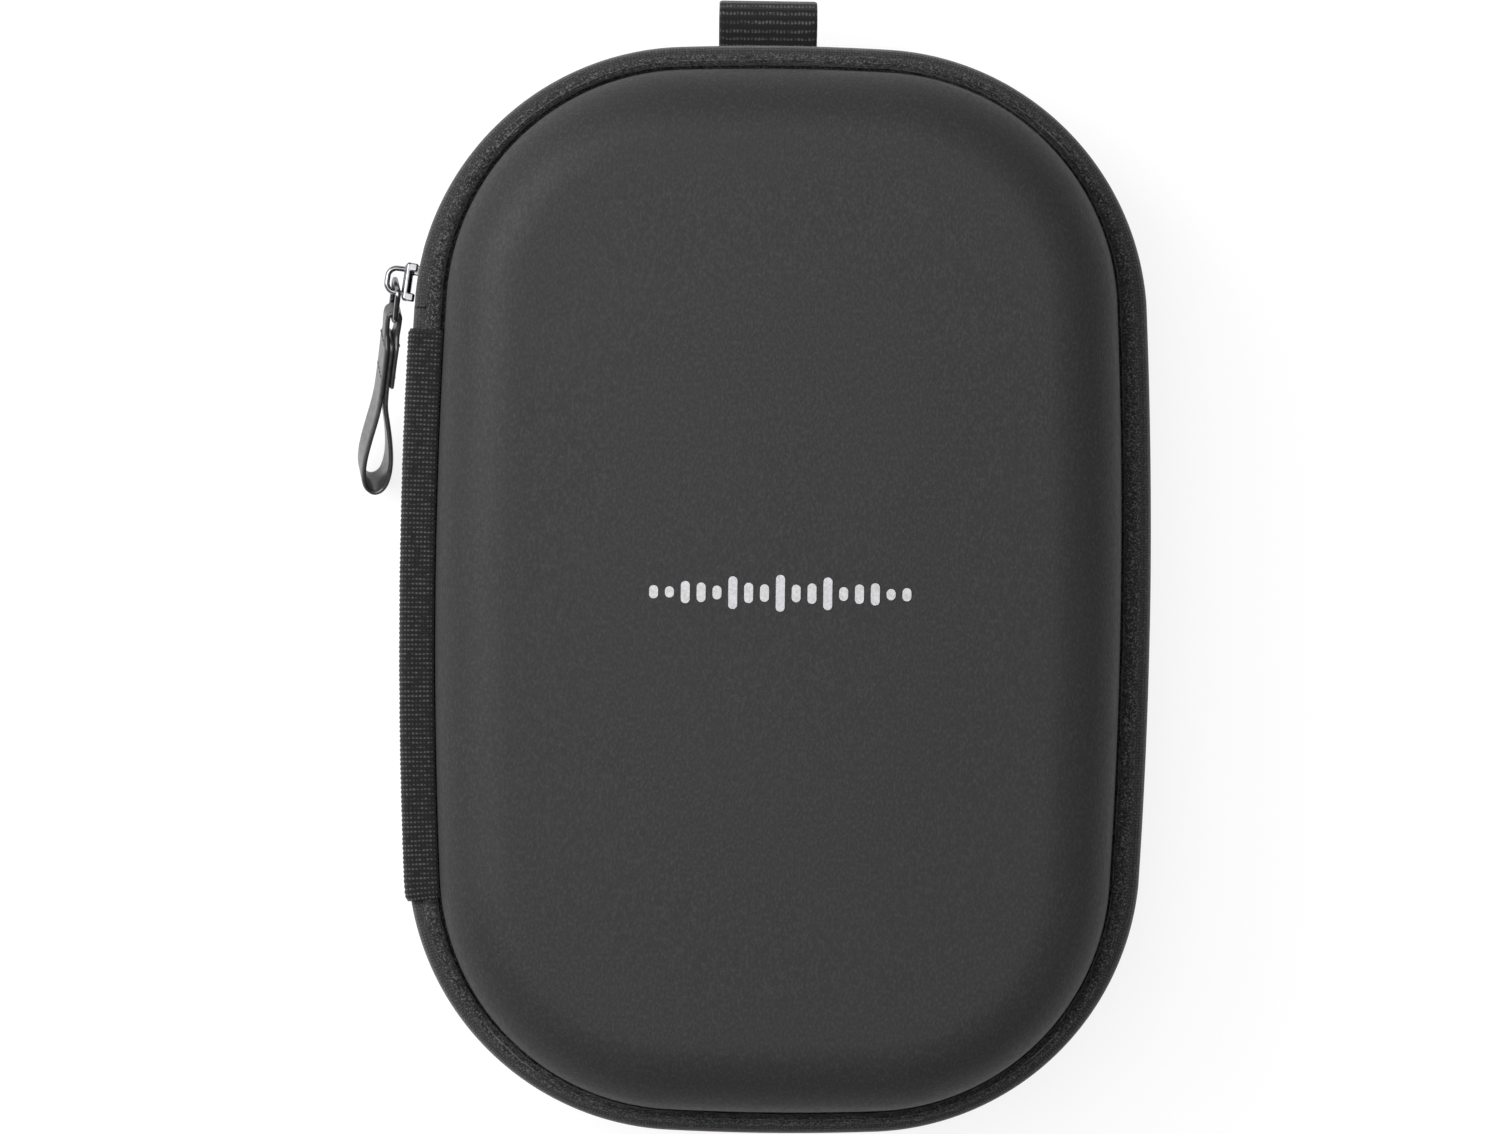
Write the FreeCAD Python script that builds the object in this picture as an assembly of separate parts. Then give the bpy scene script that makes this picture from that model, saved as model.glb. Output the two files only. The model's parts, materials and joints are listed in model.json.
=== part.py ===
import FreeCAD, Part
import math
import os

Vector = FreeCAD.Vector
Rotation = FreeCAD.Rotation
Placement = FreeCAD.Placement

# Hard-shell headphone case, lying on its back. Millimetres.
# Origin: centre of the flat back, which the case rests on. +Z: out of the front face.
# +Y: towards the hanging loop. The halves are hinged on the -X side.

# ---------------------------------------------------------------- driving dimensions
face_half_width = 66.0        # outline of the domed face, where it meets the rim
face_half_length = 100.5
face_corner_radius = 46.4
side_bow = 1.4                # how far the long sides bulge
end_bow = 0.4                # how far the ends bulge
half_depth = 26.0             # parting plane to the outer face of either half
dome_rounding = 14.0          # rounding from the dome's wall to its flat face

cover_thickness = 0.8
foam_thickness = 4.0
lining_thickness = 0.8

rim_side_width = 6.4          # face outline to the outside of the zip, along the sides
rim_end_width = 4.9           # the same at the ends
rim_corner_width = 6.8        # the same round the corners
binding_width = 4.0           # width of the knitted rim band
rim_height = 8.0              # parting plane to the top of the rim band
shell_gap = 3.5               # parting plane to the edge of either shell
binding_rounding = 1.6

tape_thickness = 0.7
tape_flange_thickness = 0.8
coil_depth = 1.0              # how far the coil stands in from the tape
coil_height = 1.8
coil_gap = 0.6                # parting plane to the nearer edge of either coil

hinge_web_reach = 7.1         # face outline to the outside of the hinge band
hinge_web_half_height = 7.5
hinge_top_gap = 9.0           # parked slider's centre down to the band's upper end
hinge_lower_overrun = 8.2     # how far the band runs past the lower corner's start
hinge_axis_standoff = 5.9     # hinge line outside the zip wall
inner_tape_thickness = 0.7
inner_tape_clearance = 0.1    # outer band to the tape behind it
inner_tape_end_trim = 1.0
hinge_opening_deg = 125.0

tray_top_drop = 6.0           # parting plane down to the top of the tray
tray_floor_thickness = 2.4
well_half_width = 46.0
well_half_length = 38.0
well_corner_radius = 30.0
well_bow = 0.5
well_floor_rounding = 5.0
island_width = 20.0           # foam left between the two wells
slot_half_length = 30.0
slot_width = 11.0
slot_depth = 9.0
slot_corner_radius = 4.0

pocket_inset = 15.0           # lining to the outer edge of the pocket's binding
pocket_binding_width = 4.0
pocket_binding_height = 1.5
pocket_net_thickness = 0.5
pocket_top_y = 20.0           # the net's open edge
pocket_elastic_width = 6.0
pocket_elastic_thickness = 1.0

print_half_length = 25.0
print_bar_width = 1.7
print_bar_count = 17
print_bar_height = 7.0
print_bar_lowest = 1.9
print_thickness = 0.15

loop_width = 19.0
loop_centre_x = -3.0
loop_webbing_thickness = 1.3
loop_eye_radius = 3.1
loop_crotch_radius = 0.6      # where the two legs of the loop meet
loop_reach = 10.1              # end of the rim band to the tip of the loop
loop_centre_drop = 6.2        # parting plane down to the middle of the loop
loop_root_depth = 1.0         # how far the webbing is tucked into the rim band
tack_thickness = 0.3
tack_length = 1.6
tack_width = 0.5
tack_count = 9

slider_park_deg = 7.4         # place of the slider on the upper left corner, from the -X side
slider_travel_deg = 74.0
slider_length = 7.6
slider_half_height = 3.2
slider_plate_gap = 1.2        # zip wall to the outer plate
slider_plate_thickness = 1.3
slider_inner_thickness = 1.05
slider_flange_thickness = 0.45
slider_flange_length = 2.2
slider_post_width = 1.0
slider_post_length = 2.0
slider_tape_clearance = 0.35
slider_edge_rounding = 0.5
slider_end_clearance = 0.6    # chain left out beside the parked slider, on the lid

crown_reach = 3.9
crown_half_length = 2.9
crown_arm = 1.1
crown_thickness = 1.5
crown_rounding = 2.0

link_wire = 1.1
link_inner_width = 5.0
link_near_reach = 1.6         # crown arm's centre to the near bar
link_far_reach = 4.9          # crown arm's centre to the far bar
link_bend_radius = 0.8
link_roll_deg = 12.0          # lower edge leans away from the case

strap_width = 8.0
strap_neck_width = 4.2
strap_layer = 1.0
strap_eye_clearance = 0.15
strap_neck_length = 4.0
strap_joined_length = 20.0    # bar to where the two layers part
strap_loop_centre = 33.0      # bar to the widest place of the finger loop
strap_loop_half = 3.1
strap_tip_centre = 37.0
strap_tip_half = 2.3
strap_stitch_thickness = 0.2
strap_stitch_length = 1.4
strap_stitch_width = 0.35
strap_stitch_pitch = 1.9
strap_stitch_rows = 4
strap_floor_clearance = 0.4

stop_length = 1.6
stop_clearance = 0.3
cut_margin = 5.0              # how far cutting bodies run past what they cut

# ---------------------------------------------------------------- derived places
parting_z = half_depth
wall_thickness = cover_thickness + foam_thickness + lining_thickness
slider_angle = math.radians(slider_park_deg)


class Outline:
    """Oval of eight tangent arcs: bowed sides, bowed ends and round corners."""

    def __init__(self, half_width, half_length, corner, bow_side, bow_end):
        self.half_width = half_width
        self.half_length = half_length
        self.corner = corner
        self.bow_side = bow_side
        self.bow_end = bow_end
        self.corner_x = half_width - bow_side - corner
        self.corner_y = half_length - bow_end - corner
        side_run = half_width - self.corner_x
        end_run = half_length - self.corner_y
        self.side_radius = (self.corner_y ** 2 + side_run ** 2 - corner ** 2) / (2 * bow_side)
        self.end_radius = (self.corner_x ** 2 + end_run ** 2 - corner ** 2) / (2 * bow_end)

    def grown(self, distance):
        return Outline(
            self.half_width + distance,
            self.half_length + distance,
            self.corner + distance,
            self.bow_side,
            self.bow_end,
        )

    def corner_angles(self):
        side_centre = self.half_width - self.side_radius
        end_centre = self.half_length - self.end_radius
        first = math.atan2(self.corner_y, self.corner_x - side_centre)
        last = math.atan2(self.corner_y - end_centre, self.corner_x)
        return first, last

    def corner_point(self, angle):
        x = self.corner_x + self.corner * math.cos(angle)
        y = self.corner_y + self.corner * math.sin(angle)
        return x, y

    def face(self, z, centre_y=0.0):
        first, last = self.corner_angles()
        side_x, side_y = self.corner_point(first)
        mid_x, mid_y = self.corner_point((first + last) / 2)
        end_x, end_y = self.corner_point(last)
        quarter_arcs = []
        for sx, sy in ((1, 1), (-1, 1), (-1, -1), (1, -1)):
            corner = [(sx * side_x, sy * side_y), (sx * mid_x, sy * mid_y), (sx * end_x, sy * end_y)]
            quarter_arcs.append(corner if sx * sy > 0 else corner[::-1])
        wide, long = self.half_width, self.half_length
        middles = [(0, long), (-wide, 0), (0, -long), (wide, 0)]
        edges = []
        for i, corner in enumerate(quarter_arcs):
            following = quarter_arcs[(i + 1) % 4]
            for points in (corner, [corner[2], middles[i], following[0]]):
                ends = [Vector(x, y + centre_y, z) for x, y in points]
                edges.append(Part.Arc(*ends).toShape())
        return Part.Face(Part.Wire(edges))

    def prism(self, low, high, centre_y=0.0):
        return self.face(low, centre_y).extrude(Vector(0, 0, high - low))


face_outline = Outline(face_half_width, face_half_length, face_corner_radius, side_bow, end_bow)
wall_outline = Outline(
    face_half_width + rim_side_width,
    face_half_length + rim_end_width,
    face_corner_radius + rim_corner_width,
    side_bow,
    end_bow,
)
binding_outline = face_outline.grown(binding_width)
coil_outline = wall_outline.grown(-tape_thickness)
lining_outline = face_outline.grown(-wall_thickness)

slider_centre_x = -wall_outline.corner_x
slider_centre_y = wall_outline.corner_y
slider_y = slider_centre_y + wall_outline.corner * math.sin(slider_angle)
hinge_top_y = slider_y - hinge_top_gap
hinge_bottom_y = -(wall_outline.corner_y + hinge_lower_overrun)
hinge_axis_x = -(wall_outline.half_width + hinge_axis_standoff)


# ---------------------------------------------------------------- helpers
def box(low, high):
    size = [b - a for a, b in zip(low, high)]
    return Part.makeBox(*size, Vector(*low))


def round_edges(shape, radius, wanted):
    return shape.makeFillet(radius, [edge for edge in shape.Edges if wanted(edge)])


def level_edge(height):
    def wanted(edge):
        bounds = edge.BoundBox
        return abs(bounds.ZMin - height) < 1e-4 and abs(bounds.ZMax - height) < 1e-4
    return wanted


def to_base(shape):
    """The same piece on the base half."""
    return shape.mirror(Vector(0, 0, parting_z), Vector(0, 0, 1))


def dome(inset):
    """The lid half, solid, with every surface moved inwards by inset."""
    top = parting_z + half_depth - inset
    body = face_outline.grown(-inset).prism(parting_z + shell_gap, top)
    return round_edges(body, dome_rounding - inset, level_edge(top))


def corner_wedge(first_deg, last_deg):
    """Tall wedge over a stretch of the upper left corner, angles from the -X side."""
    reach = 2 * (wall_outline.corner + cut_margin)
    low = -cut_margin
    points = [Vector(slider_centre_x, slider_centre_y, low)]
    for angle in (first_deg, last_deg):
        turn = math.radians(angle)
        x = slider_centre_x - reach * math.cos(turn)
        y = slider_centre_y + reach * math.sin(turn)
        points.append(Vector(x, y, low))
    points.append(points[0])
    return Part.Face(Part.makePolygon(points)).extrude(Vector(0, 0, 2 * half_depth + 2 * cut_margin))


def hinge_side(lower_trim=0.0, upper_trim=0.0):
    """Everything beside the hinge band, shortened by the trims."""
    low = (-wall_outline.half_width - 4 * cut_margin, hinge_bottom_y + lower_trim, -cut_margin)
    high = (-face_half_width / 2, hinge_top_y - upper_trim, 2 * half_depth + cut_margin)
    return box(low, high)


# ---------------------------------------------------------------- shells
def layer(outer_inset, inner_inset):
    return dome(outer_inset).cut(dome(inner_inset))


def cover():
    return layer(0, cover_thickness)


def foam_shell():
    return layer(cover_thickness, cover_thickness + foam_thickness)


def lining():
    return layer(cover_thickness + foam_thickness, wall_thickness)


def rim_binding():
    low = parting_z + shell_gap + tape_flange_thickness
    high = parting_z + rim_height
    body = binding_outline.prism(low, high)
    body = round_edges(body, binding_rounding, level_edge(high))
    return body.cut(face_outline.prism(low - cut_margin, high + cut_margin))


# ---------------------------------------------------------------- zip
def tape():
    low = parting_z + coil_gap
    flange_low = parting_z + shell_gap
    flange_high = flange_low + tape_flange_thickness
    body = wall_outline.prism(low, flange_high)
    inner = coil_outline.prism(low - cut_margin, flange_low)
    core = face_outline.prism(low - cut_margin, flange_high + cut_margin)
    return body.cut(inner).cut(core).cut(hinge_side())


def coil_ring():
    low = parting_z + coil_gap
    high = low + coil_height
    inner = coil_outline.grown(-coil_depth)
    return coil_outline.prism(low, high).cut(inner.prism(low - cut_margin, high + cut_margin))


def teeth(end_trim):
    return coil_ring().cut(hinge_side(-end_trim, -end_trim))


def beside_slider():
    half_span = math.degrees((slider_length / 2 + slider_end_clearance) / wall_outline.corner)
    return corner_wedge(slider_park_deg - half_span, slider_park_deg + half_span)


def stops():
    span = stop_length + stop_clearance
    near = hinge_side(-span, -span).cut(hinge_side(-stop_clearance, -stop_clearance))
    return coil_ring().common(near)


# ---------------------------------------------------------------- hinge
def outer_web():
    low = parting_z - hinge_web_half_height
    high = parting_z + hinge_web_half_height
    band = face_outline.grown(hinge_web_reach).prism(low, high)
    band = band.cut(binding_outline.prism(low - cut_margin, high + cut_margin))
    return band.common(hinge_side())


def inner_tape():
    """Trough behind the outer band: it covers both shells' edges and the gap between them."""
    low = parting_z - shell_gap
    high = parting_z + shell_gap
    thick = inner_tape_thickness
    back = binding_outline.grown(-inner_tape_clearance)
    band = back.prism(low, high)
    band = band.cut(back.grown(-thick).prism(low + thick, high - thick))
    band = band.cut(lining_outline.prism(low - cut_margin, high + cut_margin))
    return band.common(hinge_side(inner_tape_end_trim, inner_tape_end_trim))


# ---------------------------------------------------------------- inside of the base
def tray():
    top = parting_z + tray_top_drop
    ceiling = parting_z + half_depth
    body = dome(wall_thickness).common(
        box((-face_half_width, -face_half_length, top), (face_half_width, face_half_length, ceiling))
    )
    well_outline = Outline(well_half_width, well_half_length, well_corner_radius, well_bow, well_bow)
    well_top = ceiling - wall_thickness - tray_floor_thickness
    for side in (-1, 1):
        centre_y = side * (island_width / 2 + well_half_length)
        well = well_outline.prism(top - cut_margin, well_top, centre_y)
        body = body.cut(round_edges(well, well_floor_rounding, level_edge(well_top)))
    slot = box(
        (-slot_half_length, -slot_width / 2, top - cut_margin),
        (slot_half_length, slot_width / 2, top + slot_depth),
    )
    upright = [edge for edge in slot.Edges if edge.BoundBox.ZLength > slot_depth]
    return body.cut(slot.makeFillet(slot_corner_radius, upright))


# ---------------------------------------------------------------- pocket in the lid
def pocket_outline():
    return lining_outline.grown(-pocket_inset)


def below(y):
    return box((-face_half_width, -face_half_length, 0), (face_half_width, y, 2 * half_depth))


def pocket_binding():
    high = parting_z + half_depth - wall_thickness
    low = high - pocket_binding_height
    opening = pocket_outline().grown(-pocket_binding_width)
    ring = pocket_outline().prism(low, high)
    ring = ring.cut(opening.prism(low - cut_margin, high + cut_margin))
    return ring.common(below(pocket_top_y + pocket_elastic_width))


def pocket_net():
    high = parting_z + half_depth - wall_thickness - pocket_binding_height
    sheet = pocket_outline().prism(high - pocket_net_thickness, high)
    return sheet.common(below(pocket_top_y))


def pocket_elastic():
    high = parting_z + half_depth - wall_thickness - pocket_binding_height
    strip = pocket_outline().prism(high - pocket_elastic_thickness, high)
    strip = strip.common(below(pocket_top_y + pocket_elastic_width))
    return strip.cut(below(pocket_top_y))


# ---------------------------------------------------------------- printed mark
def printed_mark():
    """Sound wave of upright bars with round ends, tallest in the middle."""
    bars = []
    pitch = (2 * print_half_length - print_bar_width) / (print_bar_count - 1)
    low = parting_z + half_depth
    for i in range(print_bar_count):
        place = i - (print_bar_count - 1) / 2
        swell = math.cos(math.pi * place / (print_bar_count + 1))
        ripple = 0.55 + 0.45 * math.cos(2.2 * place)
        height = print_bar_lowest + (print_bar_height - print_bar_lowest) * swell * ripple
        half = height / 2
        x = place * pitch
        bar = box(
            (x - print_bar_width / 2, -half, low),
            (x + print_bar_width / 2, half, low + print_thickness),
        )
        upright = [edge for edge in bar.Edges if edge.BoundBox.ZLength > print_thickness / 2]
        bars.append(bar.makeFillet(print_bar_width / 2 * 0.96, upright))
    return Part.makeCompound(bars)


# ---------------------------------------------------------------- shapes made of tangent circles
def tangent_hull(first, first_radius, second, second_radius, low, high):
    """Prism over two circles in the XY plane and their outer tangents."""
    gap = Vector(second[0] - first[0], second[1] - first[1], 0)
    along = math.atan2(gap.y, gap.x)
    lean = math.acos((first_radius - second_radius) / gap.Length)
    points = []
    for centre, radius, turns in (
        (first, first_radius, (lean, math.pi, -lean)),
        (second, second_radius, (-lean, 0, lean)),
    ):
        for turn in turns:
            x = centre[0] + radius * math.cos(along + turn)
            y = centre[1] + radius * math.sin(along + turn)
            points.append(Vector(x, y, low))
    edges = [
        Part.Arc(points[0], points[1], points[2]).toShape(),
        Part.LineSegment(points[2], points[3]).toShape(),
        Part.Arc(points[3], points[4], points[5]).toShape(),
        Part.LineSegment(points[5], points[0]).toShape(),
    ]
    return Part.Face(Part.Wire(edges)).extrude(Vector(0, 0, high - low))


# ---------------------------------------------------------------- hanging loop
loop_outer_radius = loop_eye_radius + loop_webbing_thickness
loop_z = parting_z - loop_centre_drop
loop_centre_y = binding_outline.half_length + loop_reach - loop_outer_radius
loop_root_y = binding_outline.half_length - loop_root_depth


def loop_frame():
    """Stands a section drawn in XY (X away from the case, Y up) across the loop's width."""
    turned = Rotation(Vector(0, 1, 0), Vector(0, 0, 1), Vector(1, 0, 0), "XYZ")
    return Placement(Vector(loop_centre_x - loop_width / 2, 0, loop_z), turned)


def loop_body():
    """The loop with its eye filled."""
    root = (loop_root_y, 0)
    eye = (loop_centre_y, 0)
    outer = tangent_hull(root, loop_webbing_thickness, eye, loop_outer_radius, 0, loop_width)
    outer.Placement = loop_frame()
    return outer


def hanging_loop():
    eye = (loop_centre_y, 0)
    crotch = (loop_centre_y - loop_eye_radius, 0)
    near, far = -cut_margin, loop_width + cut_margin
    hole = tangent_hull(crotch, loop_crotch_radius, eye, loop_eye_radius, near, far)
    hole.Placement = loop_frame()
    tape_low = parting_z - shell_gap - tape_flange_thickness
    rim = binding_outline.prism(0, 2 * half_depth).fuse(wall_outline.prism(tape_low, parting_z))
    return loop_body().cut(hole).cut(rim)


def loop_tack():
    """Row of thread bars across the webbing, on the upper leg of the loop beside the rim."""
    slope = math.asin((loop_outer_radius - loop_webbing_thickness) / (loop_centre_y - loop_root_y))
    reach_back = loop_centre_y - wall_outline.half_length - tack_length
    down_leg = max(0, reach_back - loop_outer_radius * math.sin(slope)) / math.cos(slope)
    pitch = (loop_width - 2 * tack_length) / (tack_count - 1)
    bars = []
    for i in range(tack_count):
        place = tack_length + i * pitch
        near, far = -down_leg - tack_length / 2, -down_leg + tack_length / 2
        low = (near, loop_outer_radius - tack_thickness, place - tack_width / 2)
        high = (far, loop_outer_radius + tack_thickness, place + tack_width / 2)
        bar = box(low, high)
        lean = Placement(Vector(loop_centre_y, 0, 0), Rotation(Vector(0, 0, 1), math.degrees(slope)))
        bar.Placement = loop_frame().multiply(lean)
        bars.append(bar.cut(loop_body()))
    return Part.makeCompound(bars)


# ---------------------------------------------------------------- slider
def slider_frame():
    """X away from the zip wall, Y back along the zip towards the hinge band, Z up."""
    x = slider_centre_x - wall_outline.corner * math.cos(slider_angle)
    y = slider_centre_y + wall_outline.corner * math.sin(slider_angle)
    return Placement(Vector(x, y, parting_z), Rotation(Vector(0, 0, 1), 180 - slider_park_deg))


slider_plate_out = slider_plate_gap + slider_plate_thickness
coil_inner_x = -coil_depth - tape_thickness


def slider():
    half = slider_length / 2
    tall = slider_half_height
    inner_face = coil_inner_x - slider_tape_clearance
    plate = box((slider_plate_gap, -half, -tall), (slider_plate_out, half, tall))
    across = [edge for edge in plate.Edges if edge.BoundBox.XLength > slider_plate_thickness / 2]
    plate = plate.makeFillet(2 * slider_edge_rounding, across)
    inner = box((inner_face - slider_inner_thickness, -half, -tall), (inner_face, half, tall))
    post = box(
        (inner_face, slider_edge_rounding - half, -slider_post_width / 2),
        (slider_plate_gap, slider_edge_rounding - half + slider_post_length, slider_post_width / 2),
    )
    body = plate.fuse([inner, post])
    for side_y in (-1, 1):
        for side_z in (-1, 1):
            ys = sorted((side_y * (half - slider_edge_rounding), side_y * (half - slider_flange_length)))
            zs = sorted((side_z * tall, side_z * (tall - slider_flange_thickness)))
            low = (slider_tape_clearance, ys[0], zs[0])
            high = (slider_plate_gap + slider_plate_thickness / 2, ys[1], zs[1])
            body = body.fuse(box(low, high))
    body = body.removeSplitter()
    body.Placement = slider_frame()
    return body


def crown():
    half = crown_half_length
    thick = crown_thickness / 2
    body = box((slider_plate_out, -half, -thick), (slider_plate_out + crown_reach, half, thick))
    far = slider_plate_out + crown_reach
    body = round_edges(body, crown_rounding, upright_at(far))
    eye_far = far - crown_arm
    eye = box(
        (slider_plate_out - cut_margin, crown_arm - half, -cut_margin),
        (eye_far, half - crown_arm, cut_margin),
    )
    eye = round_edges(eye, crown_rounding - crown_arm, upright_at(eye_far))
    body = body.cut(eye)
    body.Placement = slider_frame()
    return body


def upright_at(x):
    def wanted(edge):
        bounds = edge.BoundBox
        return abs(bounds.XMin - x) < 1e-4 and abs(bounds.XMax - x) < 1e-4 and bounds.ZLength > 1
    return wanted


# ---------------------------------------------------------------- pull
arm_x = slider_plate_out + (crown_reach - crown_arm) / 2
arm_y = crown_half_length - crown_arm / 2
strap_roll = math.radians(link_roll_deg)


def pull_slope():
    """How far the pull slopes down so that the strap's lower corner just clears the table."""
    along = link_far_reach + strap_tip_centre + strap_tip_half
    across = strap_width / 2 * math.cos(strap_roll)
    drop = parting_z - strap_floor_clearance
    return math.asin(drop / math.hypot(along, across)) - math.atan2(across, along)


def pull_frame():
    """X along the pull, Y up across its width, Z away from the case; origin in the crown's arm."""
    flat = Rotation(Vector(0, 1, 0), Vector(0, 0, 1), Vector(1, 0, 0), "XYZ")
    roll = Rotation(Vector(0, 1, 0), -link_roll_deg)
    slope = Rotation(Vector(1, 0, 0), -math.degrees(pull_slope()))
    turn = slope.multiply(roll).multiply(flat)
    return slider_frame().multiply(Placement(Vector(arm_x, arm_y, 0), turn))


def link():
    radius = link_wire / 2
    half = link_inner_width / 2 + radius
    near = -link_near_reach
    far = link_far_reach
    bend = link_bend_radius
    solids = []
    rail_length = far - near - 2 * bend
    bar_length = 2 * (half - bend)
    for side in (-1, 1):
        start = Vector(near + bend, side * half, 0)
        solids.append(Part.makeCylinder(radius, rail_length, start, Vector(1, 0, 0)))
    for x in (near, far):
        start = Vector(x, bend - half, 0)
        solids.append(Part.makeCylinder(radius, bar_length, start, Vector(0, 1, 0)))
    quarter = ((far, 1, 0), (near, 1, 90), (near, -1, 180), (far, -1, 270))
    for x, side, start in quarter:
        centre = Vector(x - bend if x == far else x + bend, side * (half - bend), 0)
        elbow = Part.makeTorus(bend, radius, Vector(0, 0, 0), Vector(0, 0, 1), -180, 180, 90)
        elbow.Placement = Placement(centre, Rotation(Vector(0, 0, 1), start))
        solids.append(elbow)
    ring = solids[0].fuse(solids[1:]).removeSplitter()
    ring.Placement = pull_frame()
    return ring


def strap_frame():
    return pull_frame().multiply(Placement(Vector(link_far_reach, 0, 0), strap_section_turn()))


def strap_section_turn():
    """Turns a section drawn in XY (X along the strap, Y through it) to stand across its width."""
    return Rotation(Vector(1, 0, 0), Vector(0, 0, 1), Vector(0, -1, 0), "XYZ")


def strap():
    wide = strap_width / 2
    eye = link_wire / 2 + strap_eye_clearance
    chain = [
        ((0, 0), eye + strap_layer),
        ((strap_neck_length, 0), strap_layer),
        ((strap_joined_length, 0), strap_layer),
        ((strap_loop_centre, 0), strap_loop_half),
        ((strap_tip_centre, 0), strap_tip_half),
    ]
    body = None
    for (first, first_radius), (second, second_radius) in zip(chain, chain[1:]):
        span = tangent_hull(first, first_radius, second, second_radius, -wide, wide)
        body = span if body is None else body.fuse(span)
    inner = [
        ((strap_joined_length + strap_layer, 0), strap_layer / 4),
        (chain[3][0], strap_loop_half - strap_layer),
        (chain[4][0], strap_tip_half - strap_layer),
    ]
    low, high = -wide - cut_margin, wide + cut_margin
    for (first, first_radius), (second, second_radius) in zip(inner, inner[1:]):
        hole = tangent_hull(first, first_radius, second, second_radius, low, high)
        body = body.cut(hole)
    body = body.cut(Part.makeCylinder(eye, 4 * wide, Vector(0, 0, -2 * wide)))
    neck = strap_neck_width / 2
    for low, high in ((-2 * wide, -neck), (neck, 2 * wide)):
        beside = box((-cut_margin, -cut_margin, low), (strap_neck_length, cut_margin, high))
        body = body.cut(beside)
    body = body.removeSplitter()
    body.Placement = strap_frame()
    return body


def strap_stitches():
    """Two cross rows of thread on each face, where the layers are joined."""
    bars = []
    rows = (strap_neck_length + strap_layer, strap_joined_length - strap_layer)
    first = -(strap_stitch_rows - 1) * strap_stitch_pitch / 2
    for x in rows:
        for side in (-1, 1):
            ys = sorted((side * strap_layer, side * (strap_layer + strap_stitch_thickness)))
            for i in range(strap_stitch_rows):
                z = first + i * strap_stitch_pitch
                low = (x - strap_stitch_width / 2, ys[0], z - strap_stitch_length / 2)
                high = (x + strap_stitch_width / 2, ys[1], z + strap_stitch_length / 2)
                bar = box(low, high)
                bar.Placement = strap_frame()
                bars.append(bar)
    return Part.makeCompound(bars)


# ---------------------------------------------------------------- the set of pieces
def pieces():
    made = {
        "lid_shell": foam_shell(),
        "lid_cover": cover(),
        "lid_lining": lining(),
        "lid_rim_binding": rim_binding(),
        "lid_zip_tape": tape().cut(beside_slider()),
        "lid_zip_teeth": teeth(0.0).cut(beside_slider()),
        "lid_pocket_binding": pocket_binding(),
        "lid_pocket_mesh": pocket_net(),
        "lid_pocket_elastic": pocket_elastic(),
        "lid_print": printed_mark(),
        "base_shell": to_base(foam_shell()),
        "base_cover": to_base(cover()),
        "base_lining": to_base(lining()),
        "base_rim_binding": to_base(rim_binding()),
        "base_zip_tape": to_base(tape()),
        "base_zip_teeth": to_base(teeth(stop_length + 2 * stop_clearance)),
        "base_tray": to_base(tray()),
        "zip_stops": to_base(stops()),
        "hinge_outer_web": outer_web(),
        "hinge_inner_tape": inner_tape(),
        "hang_loop": hanging_loop(),
        "hang_loop_stitch": loop_tack(),
        "slider_body": slider(),
        "slider_crown": crown(),
        "pull_link": link(),
        "pull_strap": strap(),
        "pull_strap_stitch": strap_stitches(),
    }
    return made


def joint_places():
    frame = slider_frame()
    arm = frame.multVec(Vector(arm_x, arm_y, 0))
    outward = frame.Rotation.multVec(Vector(1, 0, 0))
    bar = pull_frame().multVec(Vector(link_far_reach, 0, 0))
    up = pull_frame().Rotation.multVec(Vector(0, 1, 0))
    return {
        "lid_hinge": (Vector(hinge_axis_x, 0, parting_z), Vector(0, -1, 0)),
        "slider_travel": (Vector(slider_centre_x, slider_centre_y, parting_z), Vector(0, 0, -1)),
        "pull_lift": (arm, outward),
        "strap_swing": (bar, -up),
    }


def main():
    os.makedirs("parts", exist_ok=True)
    for node, shape in pieces().items():
        solids = shape.Solids
        if not solids or not shape.isValid():
            raise ValueError(node + " is not a valid solid")
        kept = solids[0] if len(solids) == 1 else Part.makeCompound(solids)
        kept.exportStep("parts/" + node + ".step")
        low = kept.BoundBox
        extent = (low.XMin, low.XMax, low.YMin, low.YMax, low.ZMin, low.ZMax)
        print(node, len(solids), round(kept.Volume, 1), [round(v, 2) for v in extent])
    for name, (place, axis) in joint_places().items():
        print(name, [round(v, 4) for v in place], [round(v, 6) for v in axis])
    print("hinge opens", hinge_opening_deg, "slider travels", slider_travel_deg)


main()
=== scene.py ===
import json
import math

import bmesh
import bpy
import numpy as np
from mathutils import Matrix, Vector, noise


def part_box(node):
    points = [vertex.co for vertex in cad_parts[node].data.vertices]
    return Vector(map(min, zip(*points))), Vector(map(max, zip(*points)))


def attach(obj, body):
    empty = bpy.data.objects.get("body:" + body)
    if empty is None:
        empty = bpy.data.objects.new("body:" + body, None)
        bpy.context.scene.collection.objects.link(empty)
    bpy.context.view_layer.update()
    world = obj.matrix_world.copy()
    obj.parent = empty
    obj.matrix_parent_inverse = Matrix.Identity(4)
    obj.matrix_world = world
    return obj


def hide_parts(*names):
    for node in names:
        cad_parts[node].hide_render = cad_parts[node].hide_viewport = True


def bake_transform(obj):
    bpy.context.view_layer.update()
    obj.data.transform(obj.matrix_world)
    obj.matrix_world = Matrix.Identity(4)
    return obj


# Headphone carrying case, lying on its back. Shapes are worked out in millimetres, in the frame's own axes,
# and MM turns them into Blender's metres.

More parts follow.
